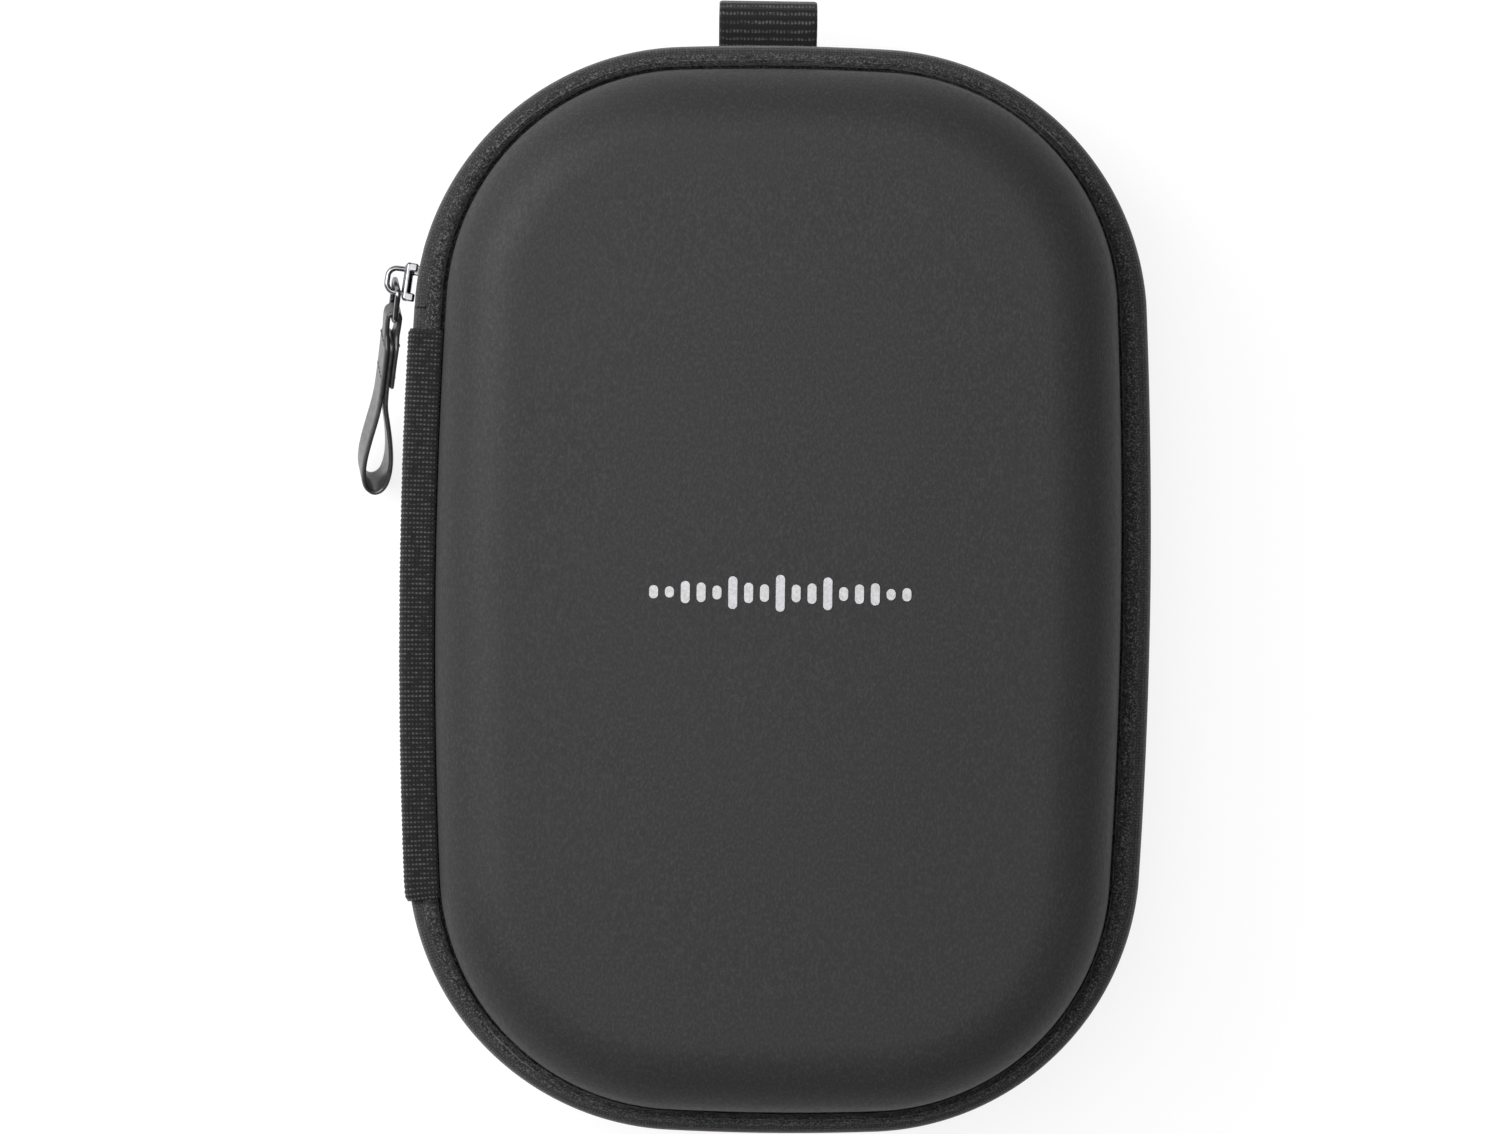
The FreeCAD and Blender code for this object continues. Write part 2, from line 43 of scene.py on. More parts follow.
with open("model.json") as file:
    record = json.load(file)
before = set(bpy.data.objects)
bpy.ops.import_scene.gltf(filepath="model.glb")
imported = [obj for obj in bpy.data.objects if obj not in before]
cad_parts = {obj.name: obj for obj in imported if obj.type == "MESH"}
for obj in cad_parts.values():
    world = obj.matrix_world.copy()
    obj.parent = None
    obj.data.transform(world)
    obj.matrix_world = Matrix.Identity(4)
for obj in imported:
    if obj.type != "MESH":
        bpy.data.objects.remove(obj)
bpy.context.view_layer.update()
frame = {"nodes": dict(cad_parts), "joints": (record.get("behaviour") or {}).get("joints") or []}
MM = 0.001


def box_mm(node):
    low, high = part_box(node)
    return Vector(low) / MM, Vector(high) / MM


def points_mm(node):
    return np.array([v.co for v in frame["nodes"][node].data.vertices]) / MM


# ---------------- sizes taken from the frame
cover_low, cover_high = box_mm("lid_cover")
base_low, base_high = box_mm("base_cover")
tape_low, tape_high = box_mm("lid_zip_tape")
binding_low, binding_high = box_mm("lid_rim_binding")
lid_shell_low, lid_shell_high = box_mm("lid_shell")
lining_low, lining_high = box_mm("lid_lining")
web_low, web_high = box_mm("hinge_outer_web")
loop_low, loop_high = box_mm("hang_loop")

PARTING = (base_low.z + cover_high.z) / 2
HALF_DEPTH = cover_high.z - PARTING
FACE_HALF_WIDTH = cover_high.x
FACE_HALF_LENGTH = cover_high.y
SHELL_GAP = lid_shell_low.z - PARTING
COVER_THICK = cover_high.z - lid_shell_high.z
WALL_THICK = COVER_THICK + lid_shell_high.z - lining_high.z
LINING_THICK = 0.8
ZIP_SIDE = tape_high.x - FACE_HALF_WIDTH
ZIP_END = tape_high.y - FACE_HALF_LENGTH
BINDING_LOW = binding_low.z - PARTING
RIM_HEIGHT = binding_high.z - PARTING
WEB_REACH = -web_low.x - FACE_HALF_WIDTH
HINGE_LOW_Y = web_low.y
HINGE_HIGH_Y = web_high.y

# ---------------- sizes that the frame doesn't hold
CORNER_RADIUS = 46.4
SIDE_BOW = 1.4
END_BOW = 0.4
ZIP_CORNER = 6.8
DOME_ROUNDING = 14.0
LID_CROWN = 0.8
WALL_PINCH = 0.35
LAYER_GAP = 0.02
FACE_WANDER = 0.12
WANDER_SIZE = 34
DOME_STEP, RIM_STEP, WEB_STEP, COIL_STEP = 1.3, 0.45, 0.15, 0.35

joint = {j["name"]: j for j in frame["joints"]}


# ---------------- outline of the case
class Ring:
    """Points round the face's outline, their outward normals and the run along it, all in millimetres."""

    def __init__(self, step):
        corner_x = FACE_HALF_WIDTH - SIDE_BOW - CORNER_RADIUS
        corner_y = FACE_HALF_LENGTH - END_BOW - CORNER_RADIUS
        side_run = FACE_HALF_WIDTH - corner_x
        end_run = FACE_HALF_LENGTH - corner_y
        side_radius = (corner_y ** 2 + side_run ** 2 - CORNER_RADIUS ** 2) / (2 * SIDE_BOW)
        end_radius = (corner_x ** 2 + end_run ** 2 - CORNER_RADIUS ** 2) / (2 * END_BOW)
        side_centre = FACE_HALF_WIDTH - side_radius
        end_centre = FACE_HALF_LENGTH - end_radius
        first = math.atan2(corner_y, corner_x - side_centre)
        last = math.atan2(corner_y - end_centre, corner_x)
        quarter = math.pi / 2
        arcs = []
        for turn in range(4):
            sx = (1, -1, -1, 1)[turn]
            sy = (1, 1, -1, -1)[turn]
            flat_side = turn in (0, 2)
            centre = (sx * side_centre, 0) if flat_side else (0, sy * end_centre)
            radius = side_radius if flat_side else end_radius
            half = first if flat_side else quarter - last
            arcs.append((centre, radius, turn * quarter - half, turn * quarter + half))
            corner = (sx * corner_x, sy * corner_y)
            trail = quarter - last if flat_side else first
            arcs.append((corner, CORNER_RADIUS, turn * quarter + half, (turn + 1) * quarter - trail))
        points, normals = [], []
        for (cx, cy), radius, start, end in arcs:
            count = max(2, round(radius * (end - start) / step))
            for k in range(count):
                angle = start + (end - start) * k / count
                normals.append((math.cos(angle), math.sin(angle)))
                points.append((cx + radius * math.cos(angle), cy + radius * math.sin(angle)))
        self.points = np.array(points)
        self.normals = np.array(normals)
        gaps = np.linalg.norm(np.roll(self.points, -1, axis=0) - self.points, axis=1)
        self.length = gaps.sum()
        self.run = np.concatenate([[0], np.cumsum(gaps)[:-1]])

    def zip_reach(self):
        """Outline to the outside of the zip, which is wider along the sides than at the ends."""
        nx, ny = np.abs(self.normals[:, 0]), np.abs(self.normals[:, 1])
        return ZIP_CORNER - (ZIP_CORNER - ZIP_SIDE) * nx - (ZIP_CORNER - ZIP_END) * ny

    def stretch(self, keep):
        """Index arrays of the unbroken stretches of kept points, the longest first."""
        count = len(keep)
        starts = [i for i in range(count) if keep[i] and not keep[i - 1]]
        runs = []
        for start in starts:
            picked = []
            i = start
            while keep[i % count]:
                picked.append(i % count)
                i += 1
            runs.append(np.array(picked))
        return sorted(runs, key=len, reverse=True)


def smooth(t):
    t = np.clip(t, 0, 1)
    return t * t * (3 - 2 * t)


# ---------------- making meshes
def make_object(name, verts, faces, uvs=None, material=None, smooth_shade=True):
    mesh = bpy.data.meshes.new(name)
    mesh.from_pydata([tuple(v) for v in np.asarray(verts) * MM], [], faces)
    if uvs is not None:
        layer = mesh.uv_layers.new(name="run")
        loop_index = np.empty(len(mesh.loops), dtype=np.int32)
        mesh.loops.foreach_get("vertex_index", loop_index)
        layer.data.foreach_set("uv", (np.asarray(uvs) * MM)[loop_index].astype(np.float32).ravel())
    mesh.validate()
    mesh.update()
    if smooth_shade:
        mesh.shade_smooth()
    obj = bpy.data.objects.new(name, mesh)
    bpy.context.scene.collection.objects.link(obj)
    if material is not None:
        mesh.materials.append(material)
    return obj


def grid_faces(rows, columns, loop_rows=False, loop_columns=False, offset=0, flip=False):
    faces = []
    for i in range(rows if loop_rows else rows - 1):
        i2 = (i + 1) % rows
        for j in range(columns if loop_columns else columns - 1):
            j2 = (j + 1) % columns
            face = (offset + i * columns + j, offset + i2 * columns + j)
            face += (offset + i2 * columns + j2, offset + i * columns + j2)
            faces.append(face[::-1] if flip else face)
    return faces


def sweep(ring, picked, profile, side, closed_profile=True, reach=None):
    """Carries a section (offset, height from the parting plane) along the outline. side is +1 for the lid.

    Gives vertices as rows x section points, and the run and section lengths as UVs.
    """
    if picked is None:
        picked = np.arange(len(ring.points))
    section = np.array(profile, float)
    points, normals = ring.points[picked], ring.normals[picked]
    offsets = section[:, 0][None, :] + np.zeros((len(picked), 1))
    if reach is not None:
        offsets = offsets + reach[picked][:, None] * section[:, 2][None, :]
    heights = section[:, 1][None, :] + np.zeros((len(picked), 1))
    x = points[:, 0][:, None] + normals[:, 0][:, None] * offsets
    y = points[:, 1][:, None] + normals[:, 1][:, None] * offsets
    z = PARTING + side * heights
    across = np.concatenate([[0], np.cumsum(np.linalg.norm(np.diff(section[:, :2], axis=0), axis=1))])
    run = ring.run[picked]
    run = np.where(run < run[0], run + ring.length, run)
    u = run[:, None] + 0 * offsets
    v = across[None, :] + 0 * offsets
    verts = np.stack([x, y, z], axis=-1)
    uvs = np.stack([u, v], axis=-1)
    return verts, uvs


def swept_object(name, ring, picked, profile, side, material, closed_ring, reach=None, shift=None):
    """A closed band: the section is a closed loop, and an open stretch has capped ends."""
    verts, uvs = sweep(ring, picked, profile, side, reach=reach)
    if shift is not None:
        verts = shift(verts, uvs)
    rows, columns = verts.shape[:2]
    faces = grid_faces(rows, columns, closed_ring, True, flip=side < 0)
    if not closed_ring:
        first = tuple(range(columns))
        last = tuple((rows - 1) * columns + j for j in range(columns))
        faces.append(first if side < 0 else first[::-1])
        faces.append(last[::-1] if side < 0 else last)
    obj = make_object(name, verts.reshape(-1, 3), faces, uvs.reshape(-1, 2), material)
    outward(obj)
    return obj


def outward(obj):
    """Makes all faces look outwards."""
    work = bmesh.new()
    work.from_mesh(obj.data)
    bmesh.ops.recalc_face_normals(work, faces=work.faces)
    work.to_mesh(obj.data)
    work.free()
    obj.data.update()


def arc(centre, radius, start_deg, end_deg, count):
    turns = np.radians(np.linspace(start_deg, end_deg, count))
    return [(centre[0] + radius * math.cos(t), centre[1] + radius * math.sin(t)) for t in turns]


def densify(points, step):
    """More points along a broken line, none further apart than step."""
    out = []
    for a, b in zip(points, points[1:]):
        count = max(1, math.ceil(math.dist(a[:2], b[:2]) / step))
        for k in range(count):
            out.append(tuple(np.array(a) + (np.array(b) - np.array(a)) * k / count))
    out.append(tuple(points[-1]))
    return out


def rounded_box(low, high, radius, segments=3):
    """Vertices and faces of a box with rounded edges."""
    work = bmesh.new()
    bmesh.ops.create_cube(work, size=1.0)
    low, high = Vector(low), Vector(high)
    for vert in work.verts:
        for k in range(3):
            vert.co[k] = (low[k] + high[k]) / 2 + vert.co[k] * (high[k] - low[k])
    bmesh.ops.bevel(work, geom=work.edges[:], offset=radius, segments=segments, profile=0.5, affect="EDGES")
    verts = np.array([v.co[:] for v in work.verts])
    work.verts.index_update()
    faces = [tuple(v.index for v in f.verts) for f in work.faces]
    work.free()
    return verts, faces


def tube(points, radius, sides, closed=False, flatten=1.0, up=(0, 0, 1)):
    """Round rod along a line of points, with capped ends unless it is closed."""
    points = np.asarray(points, float)
    count = len(points)
    if closed:
        tangents = np.roll(points, -1, axis=0) - np.roll(points, 1, axis=0)
    else:
        tangents = np.gradient(points, axis=0)
    tangents /= np.linalg.norm(tangents, axis=1)[:, None]
    up = np.asarray(up, float)
    first = np.cross(tangents, up)
    first /= np.maximum(np.linalg.norm(first, axis=1), 1e-9)[:, None]
    second = np.cross(first, tangents)
    turns = np.linspace(0, 2 * math.pi, sides, endpoint=False)
    rings = points[:, None, :] + radius * (
        np.cos(turns)[None, :, None] * first[:, None, :]
        + flatten * np.sin(turns)[None, :, None] * second[:, None, :]
    )
    faces = grid_faces(count, sides, closed, True)
    if not closed:
        faces.append(tuple(range(sides))[::-1])
        faces.append(tuple((count - 1) * sides + j for j in range(sides)))
    return rings.reshape(-1, 3), faces


def joined(parts):
    """Several (verts, faces) as one."""
    verts, faces, offset = [], [], 0
    for part_verts, part_faces in parts:
        verts.append(part_verts)
        faces.extend(tuple(i + offset for i in face) for face in part_faces)
        offset += len(part_verts)
    return np.concatenate(verts), faces


def joined_object(name, parts, material):
    verts, faces = joined(parts)
    return make_object(name, verts, faces, None, material)


# ---------------- materials
ONE_BAND = 0.314159  # the wave texture's scale at which each unit holds one band


class Paint:
    """A Principled material and the few nodes that its pattern needs. Sizes are in millimetres."""

    def __init__(self, name, colour, roughness, **sockets):
        self.material = bpy.data.materials.new(name)
        self.material.use_nodes = True
        self.nodes = self.material.node_tree.nodes
        self.links = self.material.node_tree.links
        self.shader = self.nodes["Principled BSDF"]
        self.shader.inputs["Base Color"].default_value = (*colour, 1)
        self.shader.inputs["Roughness"].default_value = roughness
        for socket, value in sockets.items():
            self.shader.inputs[socket.replace("_", " ")].default_value = value
        self.normal = None
        coordinates = self.nodes.new("ShaderNodeTexCoord")
        self.place = coordinates.outputs["Object"]
        self.along = coordinates.outputs["UV"]

    def scaled(self, size, source=None):
        """Coordinates in which one unit is size millimetres, or (x, y, z) millimetres."""
        size = size if isinstance(size, tuple) else (size, size, size)
        node = self.nodes.new("ShaderNodeMapping")
        node.inputs["Scale"].default_value = tuple(1 / (s * MM) for s in size)
        self.links.new(source or self.place, node.inputs["Vector"])
        return node.outputs["Vector"]

    def noise(self, size, detail=2.0, rough=0.5, source=None):
        node = self.nodes.new("ShaderNodeTexNoise")
        node.inputs["Scale"].default_value = 1.0
        node.inputs["Detail"].default_value = detail
        node.inputs["Roughness"].default_value = rough
        self.links.new(self.scaled(size, source), node.inputs["Vector"])
        return node.outputs["Fac"]

    def cells(self, size, source=None):
        node = self.nodes.new("ShaderNodeTexVoronoi")
        node.inputs["Scale"].default_value = 1.0
        self.links.new(self.scaled(size, source), node.inputs["Vector"])
        return node.outputs["Distance"]

    def wave(self, size, direction="X", source=None):
        """Bands across one coordinate, one ridge every size millimetres."""
        node = self.nodes.new("ShaderNodeTexWave")
        node.wave_type = "BANDS"
        node.bands_direction = direction
        node.inputs["Scale"].default_value = ONE_BAND
        node.inputs["Distortion"].default_value = 0.0
        self.links.new(self.scaled(size, source), node.inputs["Vector"])
        return node.outputs["Fac"]

    def product(self, first, second):
        node = self.nodes.new("ShaderNodeMath")
        node.operation = "MULTIPLY"
        self.links.new(first, node.inputs[0])
        self.links.new(second, node.inputs[1])
        return node.outputs[0]

    def spread(self, value, low, high, new_low=0.0, new_high=1.0):
        node = self.nodes.new("ShaderNodeMapRange")
        for socket, number in zip(node.inputs[1:5], (low, high, new_low, new_high)):
            socket.default_value = number
        self.links.new(value, node.inputs[0])
        return node.outputs[0]

    def mixed(self, factor, first, second):
        node = self.nodes.new("ShaderNodeMix")
        node.data_type = "RGBA"
        for socket, colour in ((node.inputs[6], first), (node.inputs[7], second)):
            if isinstance(colour, tuple):
                socket.default_value = (*colour, 1)
            else:
                self.links.new(colour, socket)
        self.links.new(factor, node.inputs[0])
        return node.outputs[2]

    def colour(self, factor, first, second):
        self.links.new(self.mixed(factor, first, second), self.shader.inputs["Base Color"])

    def roughness(self, value):
        self.links.new(value, self.shader.inputs["Roughness"])

    def bump(self, height, depth, strength=1.0):
        """Adds relief depth millimetres deep."""
        node = self.nodes.new("ShaderNodeBump")
        node.inputs["Strength"].default_value = strength
        node.inputs["Distance"].default_value = depth * MM
        self.links.new(height, node.inputs["Height"])
        if self.normal is not None:
            self.links.new(self.normal, node.inputs["Normal"])
        self.normal = node.outputs["Normal"]
        self.links.new(self.normal, self.shader.inputs["Normal"])


def grey(level):
    return (level, level, level * 1.03)


def cloth(name, level, roughness, gloss, sheen, sheen_roughness):
    """Matt grey cloth with a sheen."""
    sockets = {"Specular_IOR_Level": gloss, "Sheen_Weight": sheen, "Sheen_Roughness": sheen_roughness}
    return Paint(name, grey(level), roughness, **sockets)


def pu_leather():
    paint = Paint("pu_leather", grey(0.033), 0.5, Specular_IOR_Level=0.15)
    speckle = paint.spread(paint.noise((0.45, 0.8, 0.45), 3.0, 0.6), 0.45, 0.72)
    tone = paint.mixed(speckle, grey(0.026), grey(0.044))
    shade = paint.spread(paint.noise(26.0, 2.0), 0.3, 0.7, 0.0, 0.3)
    paint.links.new(paint.mixed(shade, tone, grey(0.032)), paint.shader.inputs["Base Color"])
    paint.roughness(paint.spread(paint.noise((0.7, 1.3, 0.7), 3.0), 0.3, 0.7, 0.44, 0.6))
    paint.bump(paint.cells(0.5), 0.04, 0.6)
    paint.bump(paint.noise((0.3, 0.6, 0.3), 3.0), 0.03, 0.5)
    paint.bump(paint.noise(2.2, 2.0), 0.03, 0.2)
    return paint.material


def knit():
    paint = cloth("rim_knit", 0.03, 0.9, 0.2, 0.25, 0.5)
    loops = paint.cells((0.85, 0.62, 1.0), source=paint.along)
    mottle = paint.spread(paint.noise(0.9, 3.0, 0.7), 0.42, 0.62)
    fibre = paint.spread(paint.noise(0.38, 2.0), 0.52, 0.66)
    base = paint.mixed(mottle, grey(0.007), grey(0.026))
    paint.colour(fibre, base, grey(0.09))
    paint.bump(loops, 0.22, 0.7)
    paint.bump(paint.noise(0.3, 3.0), 0.1, 0.6)
    return paint.material


def woven_tape():
    paint = cloth("zip_tape", 0.04, 0.85, 0.25, 0.2, 0.45)
    warp = paint.wave(0.55, "X", paint.along)
    weft = paint.wave(0.4, "Y", paint.along)
    weave = paint.product(warp, weft)
    fibre = paint.spread(paint.noise(0.36, 2.0), 0.52, 0.7, 0.0, 0.7)
    # The ground follows the weave's relief: painted shade in its hollows.
    ground = paint.mixed(paint.spread(weave, 0.1, 0.9), grey(0.018), grey(0.036))
    paint.colour(fibre, ground, grey(0.085))
    paint.bump(weave, 0.1, 0.7)
    paint.bump(paint.noise(0.3, 3.0), 0.08, 0.6)
    return paint.material


def nylon():
    paint = Paint("nylon_coil", grey(0.012), 0.38, Specular_IOR_Level=0.45)
    paint.roughness(paint.spread(paint.noise(0.8, 2.0), 0.3, 0.7, 0.3, 0.46))
    paint.bump(paint.noise(0.2, 2.0), 0.02, 0.4)
    return paint.material


def grosgrain(name, across, along_rib, trough_shade_level, ridge_highlight_level):
    """Ribbed webbing, a thread dot every along_rib millimetres on each rib; painted shade in the troughs,
    painted highlight on the ridges.
    """
    paint = cloth(name, 0.02, 0.85, 0.25, 0.2, 0.5)
    dots = paint.spread(paint.wave(along_rib, "Y", paint.along), 0.1, 0.75, 0.25, 1.0)
    ribs = paint.spread(paint.wave(across, "X", paint.along), 0.45, 0.9)
    weave = paint.product(ribs, dots)
    # Random patches that dim the painted highlight on the ridges.
    highlight_patches = paint.spread(paint.noise((1.2, 0.7, 0.7), 3.0, 0.65), 0.38, 0.6, 0.2, 1.0)
    lit = paint.product(weave, highlight_patches)
    # Colour runs from painted shade between the ribs to painted highlight on them.
    paint.colour(paint.spread(lit, 0.15, 0.85), grey(trough_shade_level), grey(ridge_highlight_level))
    paint.bump(weave, 0.12, 0.7)
    paint.bump(paint.noise(0.25, 3.0), 0.05, 0.5)
    return paint.material


def jersey():
    paint = cloth("jersey_lining", 0.05, 0.95, 0.15, 0.5, 0.4)
    paint.colour(paint.spread(paint.noise(1.3, 4.0, 0.7), 0.35, 0.7), grey(0.032), grey(0.062))
    paint.bump(paint.cells(0.6), 0.08, 0.5)
    paint.bump(paint.noise(0.3, 3.0), 0.06, 0.6)
    return paint.material


def flock():
    paint = cloth("tray_flock", 0.05, 1.0, 0.1, 0.7, 0.35)
    nap = paint.noise(5.0, 3.0, 0.6)
    paint.colour(paint.spread(nap, 0.35, 0.7), grey(0.034), grey(0.06))
    paint.bump(paint.noise(0.25, 2.0), 0.12, 0.7)
    return paint.material


def foam():
    paint = Paint("eva_foam", grey(0.03), 0.9, Specular_IOR_Level=0.25)
    # Colour follows the cells' relief: painted shade in their pits.
    paint.colour(paint.spread(paint.cells(0.4), 0.1, 0.6), grey(0.02), grey(0.045))
    paint.bump(paint.cells(0.4), 0.05, 0.6)
    return paint.material


def chrome():
    paint = Paint("plated_zinc", (0.24, 0.24, 0.25), 0.22, Metallic=1.0)
    paint.roughness(paint.spread(paint.noise(0.9, 3.0), 0.3, 0.7, 0.12, 0.3))
    tone = paint.spread(paint.noise(1.4, 2.0), 0.3, 0.7)
    paint.colour(tone, (0.19, 0.19, 0.2), (0.28, 0.28, 0.29))
    paint.bump(paint.noise(0.5, 2.0), 0.012, 0.4)
    return paint.material


def strap_hide():
    sockets = {"Specular_IOR_Level": 0.55, "Coat_Weight": 0.25, "Coat_Roughness": 0.3}
    paint = Paint("strap_leather", grey(0.035), 0.4, **sockets)
    paint.colour(paint.spread(paint.noise(0.8, 3.0), 0.35, 0.7), grey(0.026), grey(0.05))
    paint.roughness(paint.spread(paint.noise(1.2, 2.0), 0.3, 0.7, 0.34, 0.46))
    paint.bump(paint.cells(0.5), 0.03, 0.5)
    return paint.material


def thread():
    paint = Paint("thread", grey(0.045), 0.7, Specular_IOR_Level=0.3, Sheen_Weight=0.3)
    # Bands along the twist follow its relief: painted shade in the grooves between the plies.
    paint.colour(paint.wave(0.25, "DIAGONAL"), grey(0.03), grey(0.07))
    paint.bump(paint.wave(0.25, "DIAGONAL"), 0.05, 0.6)
    return paint.material


def net_yarn():
    paint = Paint("net_yarn", grey(0.02), 0.75, Specular_IOR_Level=0.3, Sheen_Weight=0.3)
    paint.colour(paint.noise(0.5, 2.0), grey(0.014), grey(0.04))
    paint.bump(paint.noise(0.2, 2.0), 0.05, 0.5)
    return paint.material


def ink():
    paint = Paint("print_ink", grey(0.5), 0.6, Specular_IOR_Level=0.35)
    paint.colour(paint.spread(paint.noise(0.6, 3.0, 0.7), 0.3, 0.7), grey(0.42), grey(0.62))
    paint.bump(paint.cells(0.55), 0.03, 0.4)
    return paint.material


def floor_paint():
    paint = Paint("studio_floor", (0.2, 0.2, 0.2), 0.9, Specular_IOR_Level=0.05)
    paint.shader.inputs["Emission Color"].default_value = (1, 1, 1, 1)
    paint.shader.inputs["Emission Strength"].default_value = 0.84
    return paint.material


LEATHER = pu_leather()
KNIT = knit()
TAPE = woven_tape()
NYLON = nylon()
# The last two figures of each webbing are its painted trough shade and painted ridge highlight.
HINGE_WEBBING = grosgrain("hinge_webbing", 0.9, 0.74, 0.006, 0.085)
LOOP_WEBBING = grosgrain("loop_webbing", 1.55, 0.7, 0.005, 0.075)
TRIM_WEBBING = grosgrain("trim_webbing", 0.8, 0.6, 0.012, 0.05)
JERSEY = jersey()
FLOCK = flock()
FOAM = foam()
CHROME = chrome()
HIDE = strap_hide()
THREAD = thread()
NET = net_yarn()
INK = ink()


# ---------------- placing pieces
def on_body(obj, body, slot, *nodes):
    """Rides a finished piece on its body, in the place of the CAD nodes that it stands for."""
    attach(obj, body)
    if nodes:
        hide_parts(*nodes)
    return obj


def grid_normals(verts):
    """Unit normals of a swept grid whose columns close on themselves."""
    along = np.gradient(verts, axis=0)
    across = np.roll(verts, -1, axis=1) - np.roll(verts, 1, axis=1)
    normals = np.cross(along, across)
    return normals / np.maximum(np.linalg.norm(normals, axis=2), 1e-9)[:, :, None]


def rough_noise(verts, size, depth):
    """Small bumps in all directions, the same on each run."""
    flat = verts.reshape(-1, 3)
    moved = np.array([noise.noise_vector(Vector(v) / size)[:] for v in flat])
    return verts + depth * moved.reshape(verts.shape)


dome_ring = Ring(DOME_STEP)
rim_ring = Ring(RIM_STEP)
web_ring = Ring(WEB_STEP)


# ---------------- domed halves
def crown_drop(x, y):
    """The lid's face is lowest at its edge and stands LID_CROWN higher in its middle."""
    across = np.clip(x / (FACE_HALF_WIDTH - DOME_ROUNDING / 2), -1, 1)
    along = np.clip(y / (FACE_HALF_LENGTH - DOME_ROUNDING / 2), -1, 1)
    return LID_CROWN * (1 - (1 - across ** 2) * (1 - along ** 2))


def dome_surface(inset, side):
    """Grid from the edge of the wall, over the rounding, to near the middle of the face."""
    centre = (-DOME_ROUNDING, HALF_DEPTH - DOME_ROUNDING)
    low = (-inset - WALL_PINCH, SHELL_GAP), (-inset - WALL_PINCH, RIM_HEIGHT - 0.8)
    wall = densify([*low, (-inset - WALL_PINCH / 2, RIM_HEIGHT + 1.2), (-inset, centre[1])], 1.0)[:-1]
    section = wall + arc(centre, DOME_ROUNDING - inset, 0, 90, 20)
    verts, _ = sweep(dome_ring, None, section, side)
    edge = verts[:, -1]
    face = [edge * (share, share, 1) for share in np.linspace(1, 0.04, 22)[1:]]
    return np.concatenate([verts, np.stack(face, axis=1)], axis=1)


def settle(verts, side):
    """Crowns the lid's face, and lets the faces of both halves wander a little, as a moulded skin does."""
    height = side * (verts[..., 2] - PARTING)
    share = smooth((height - (HALF_DEPTH - DOME_ROUNDING)) / (DOME_ROUNDING - WALL_THICK))
    drop = crown_drop(verts[..., 0], verts[..., 1]) if side > 0 else 0
    wander = np.array([noise.noise(Vector(v) / WANDER_SIZE) for v in verts.reshape(-1, 3)])
    verts[..., 2] -= side * share * (drop + FACE_WANDER * np.abs(wander.reshape(verts.shape[:-1])))
    return verts


def domed_layer(name, inset, thickness, side, material):
    outer = settle(dome_surface(inset, side), side)
    inner = settle(dome_surface(inset + thickness - LAYER_GAP, side), side)
    rows, columns = outer.shape[:2]
    count = rows * columns
    verts = np.concatenate([outer.reshape(-1, 3), inner.reshape(-1, 3)])
    faces = grid_faces(rows, columns, loop_rows=True)
    faces += grid_faces(rows, columns, loop_rows=True, offset=count)
    for base in (0, count):
        faces.append(tuple(base + i * columns + columns - 1 for i in range(rows)))
    for i in range(rows):
        i2 = (i + 1) % rows
        faces.append((i * columns, i2 * columns, count + i2 * columns, count + i * columns))
    obj = make_object(name, verts, faces, None, material)
    outward(obj)
    return obj


LAYERS = (
    ("cover", 0.0, COVER_THICK, LEATHER, "pu_leather"),
    ("shell", COVER_THICK, WALL_THICK - COVER_THICK, FOAM, "eva_foam"),
    ("lining", WALL_THICK, LINING_THICK, JERSEY, "jersey_lining"),
)
for half, side in (("lid", 1), ("base", -1)):
    for part, inset, thickness, material, slot in LAYERS:
        layer = domed_layer(f"{half}_{part}_skin", inset, thickness, side, material)
        on_body(layer, half, slot, f"{half}_{part}")


# ---------------- rim: knitted band, zip tape and coil
KNIT_SHARE = 0.72
KNIT_INNER = 1.0
KNIT_FOOT = 0.25
KNIT_SLOPE = ((0.0, 0.36), (0.08, 0.44), (0.28, 0.52), (0.6, 0.6), (1.0, 0.68), (1.4, 0.72))


def knit_section():
    """Outline of the knitted band's section; the last figure is its share of the zip's reach."""
    top = RIM_HEIGHT
    inner = arc((KNIT_INNER + 0.9, top - 0.9), 0.9, 180, 90, 7)
    foot = [(-KNIT_FOOT, BINDING_LOW), (-KNIT_FOOT, BINDING_LOW + 0.6), (KNIT_INNER, BINDING_LOW + 0.7)]
    section = [(d, h, 0.0) for d, h in foot + [(KNIT_INNER, 6.2)] + inner]
    section += [(0, top - drop, share) for drop, share in KNIT_SLOPE]
    section += [(0, 5.8, KNIT_SHARE), (0, BINDING_LOW, KNIT_SHARE)]
    return section


def knit_bumps(verts, uvs):
    """Loops of yarn stand out of the band, and its inner edge is ragged."""
    verts = rough_noise(verts, 0.8, 0.13)
    return rough_noise(verts, 2.3, 0.12)


# Section of the zip tape: what it adds to its share of the zip's reach, its height, and that share.
TAPE_OUTSIDE = (
    (-0.5, 6.6, 0.58),
    (-0.3, 7.2, 0.58),
    (0.0, 7.2, 0.66),
    (0.0, 6.95, 0.76),
    (0.02, 6.2, 0.9),
    (-0.12, 5.0, 0.985),
)
TAPE_INSIDE = ((-0.8, 5.2, 0.97), (-0.7, 6.1, 0.88))
TAPE_SECTION = TAPE_OUTSIDE + (
    (0.0, 4.0, 1.0),
    (0.0, 2.0, 1.0),
    (0.0, 0.5, 1.0),
    (-0.15, 0.28, 1.0),
    (-0.5, 0.28, 1.0),
    (-0.65, 0.5, 1.0),
    (-0.65, 2.0, 1.0),
    (-0.65, 4.0, 1.0),
) + TAPE_INSIDE
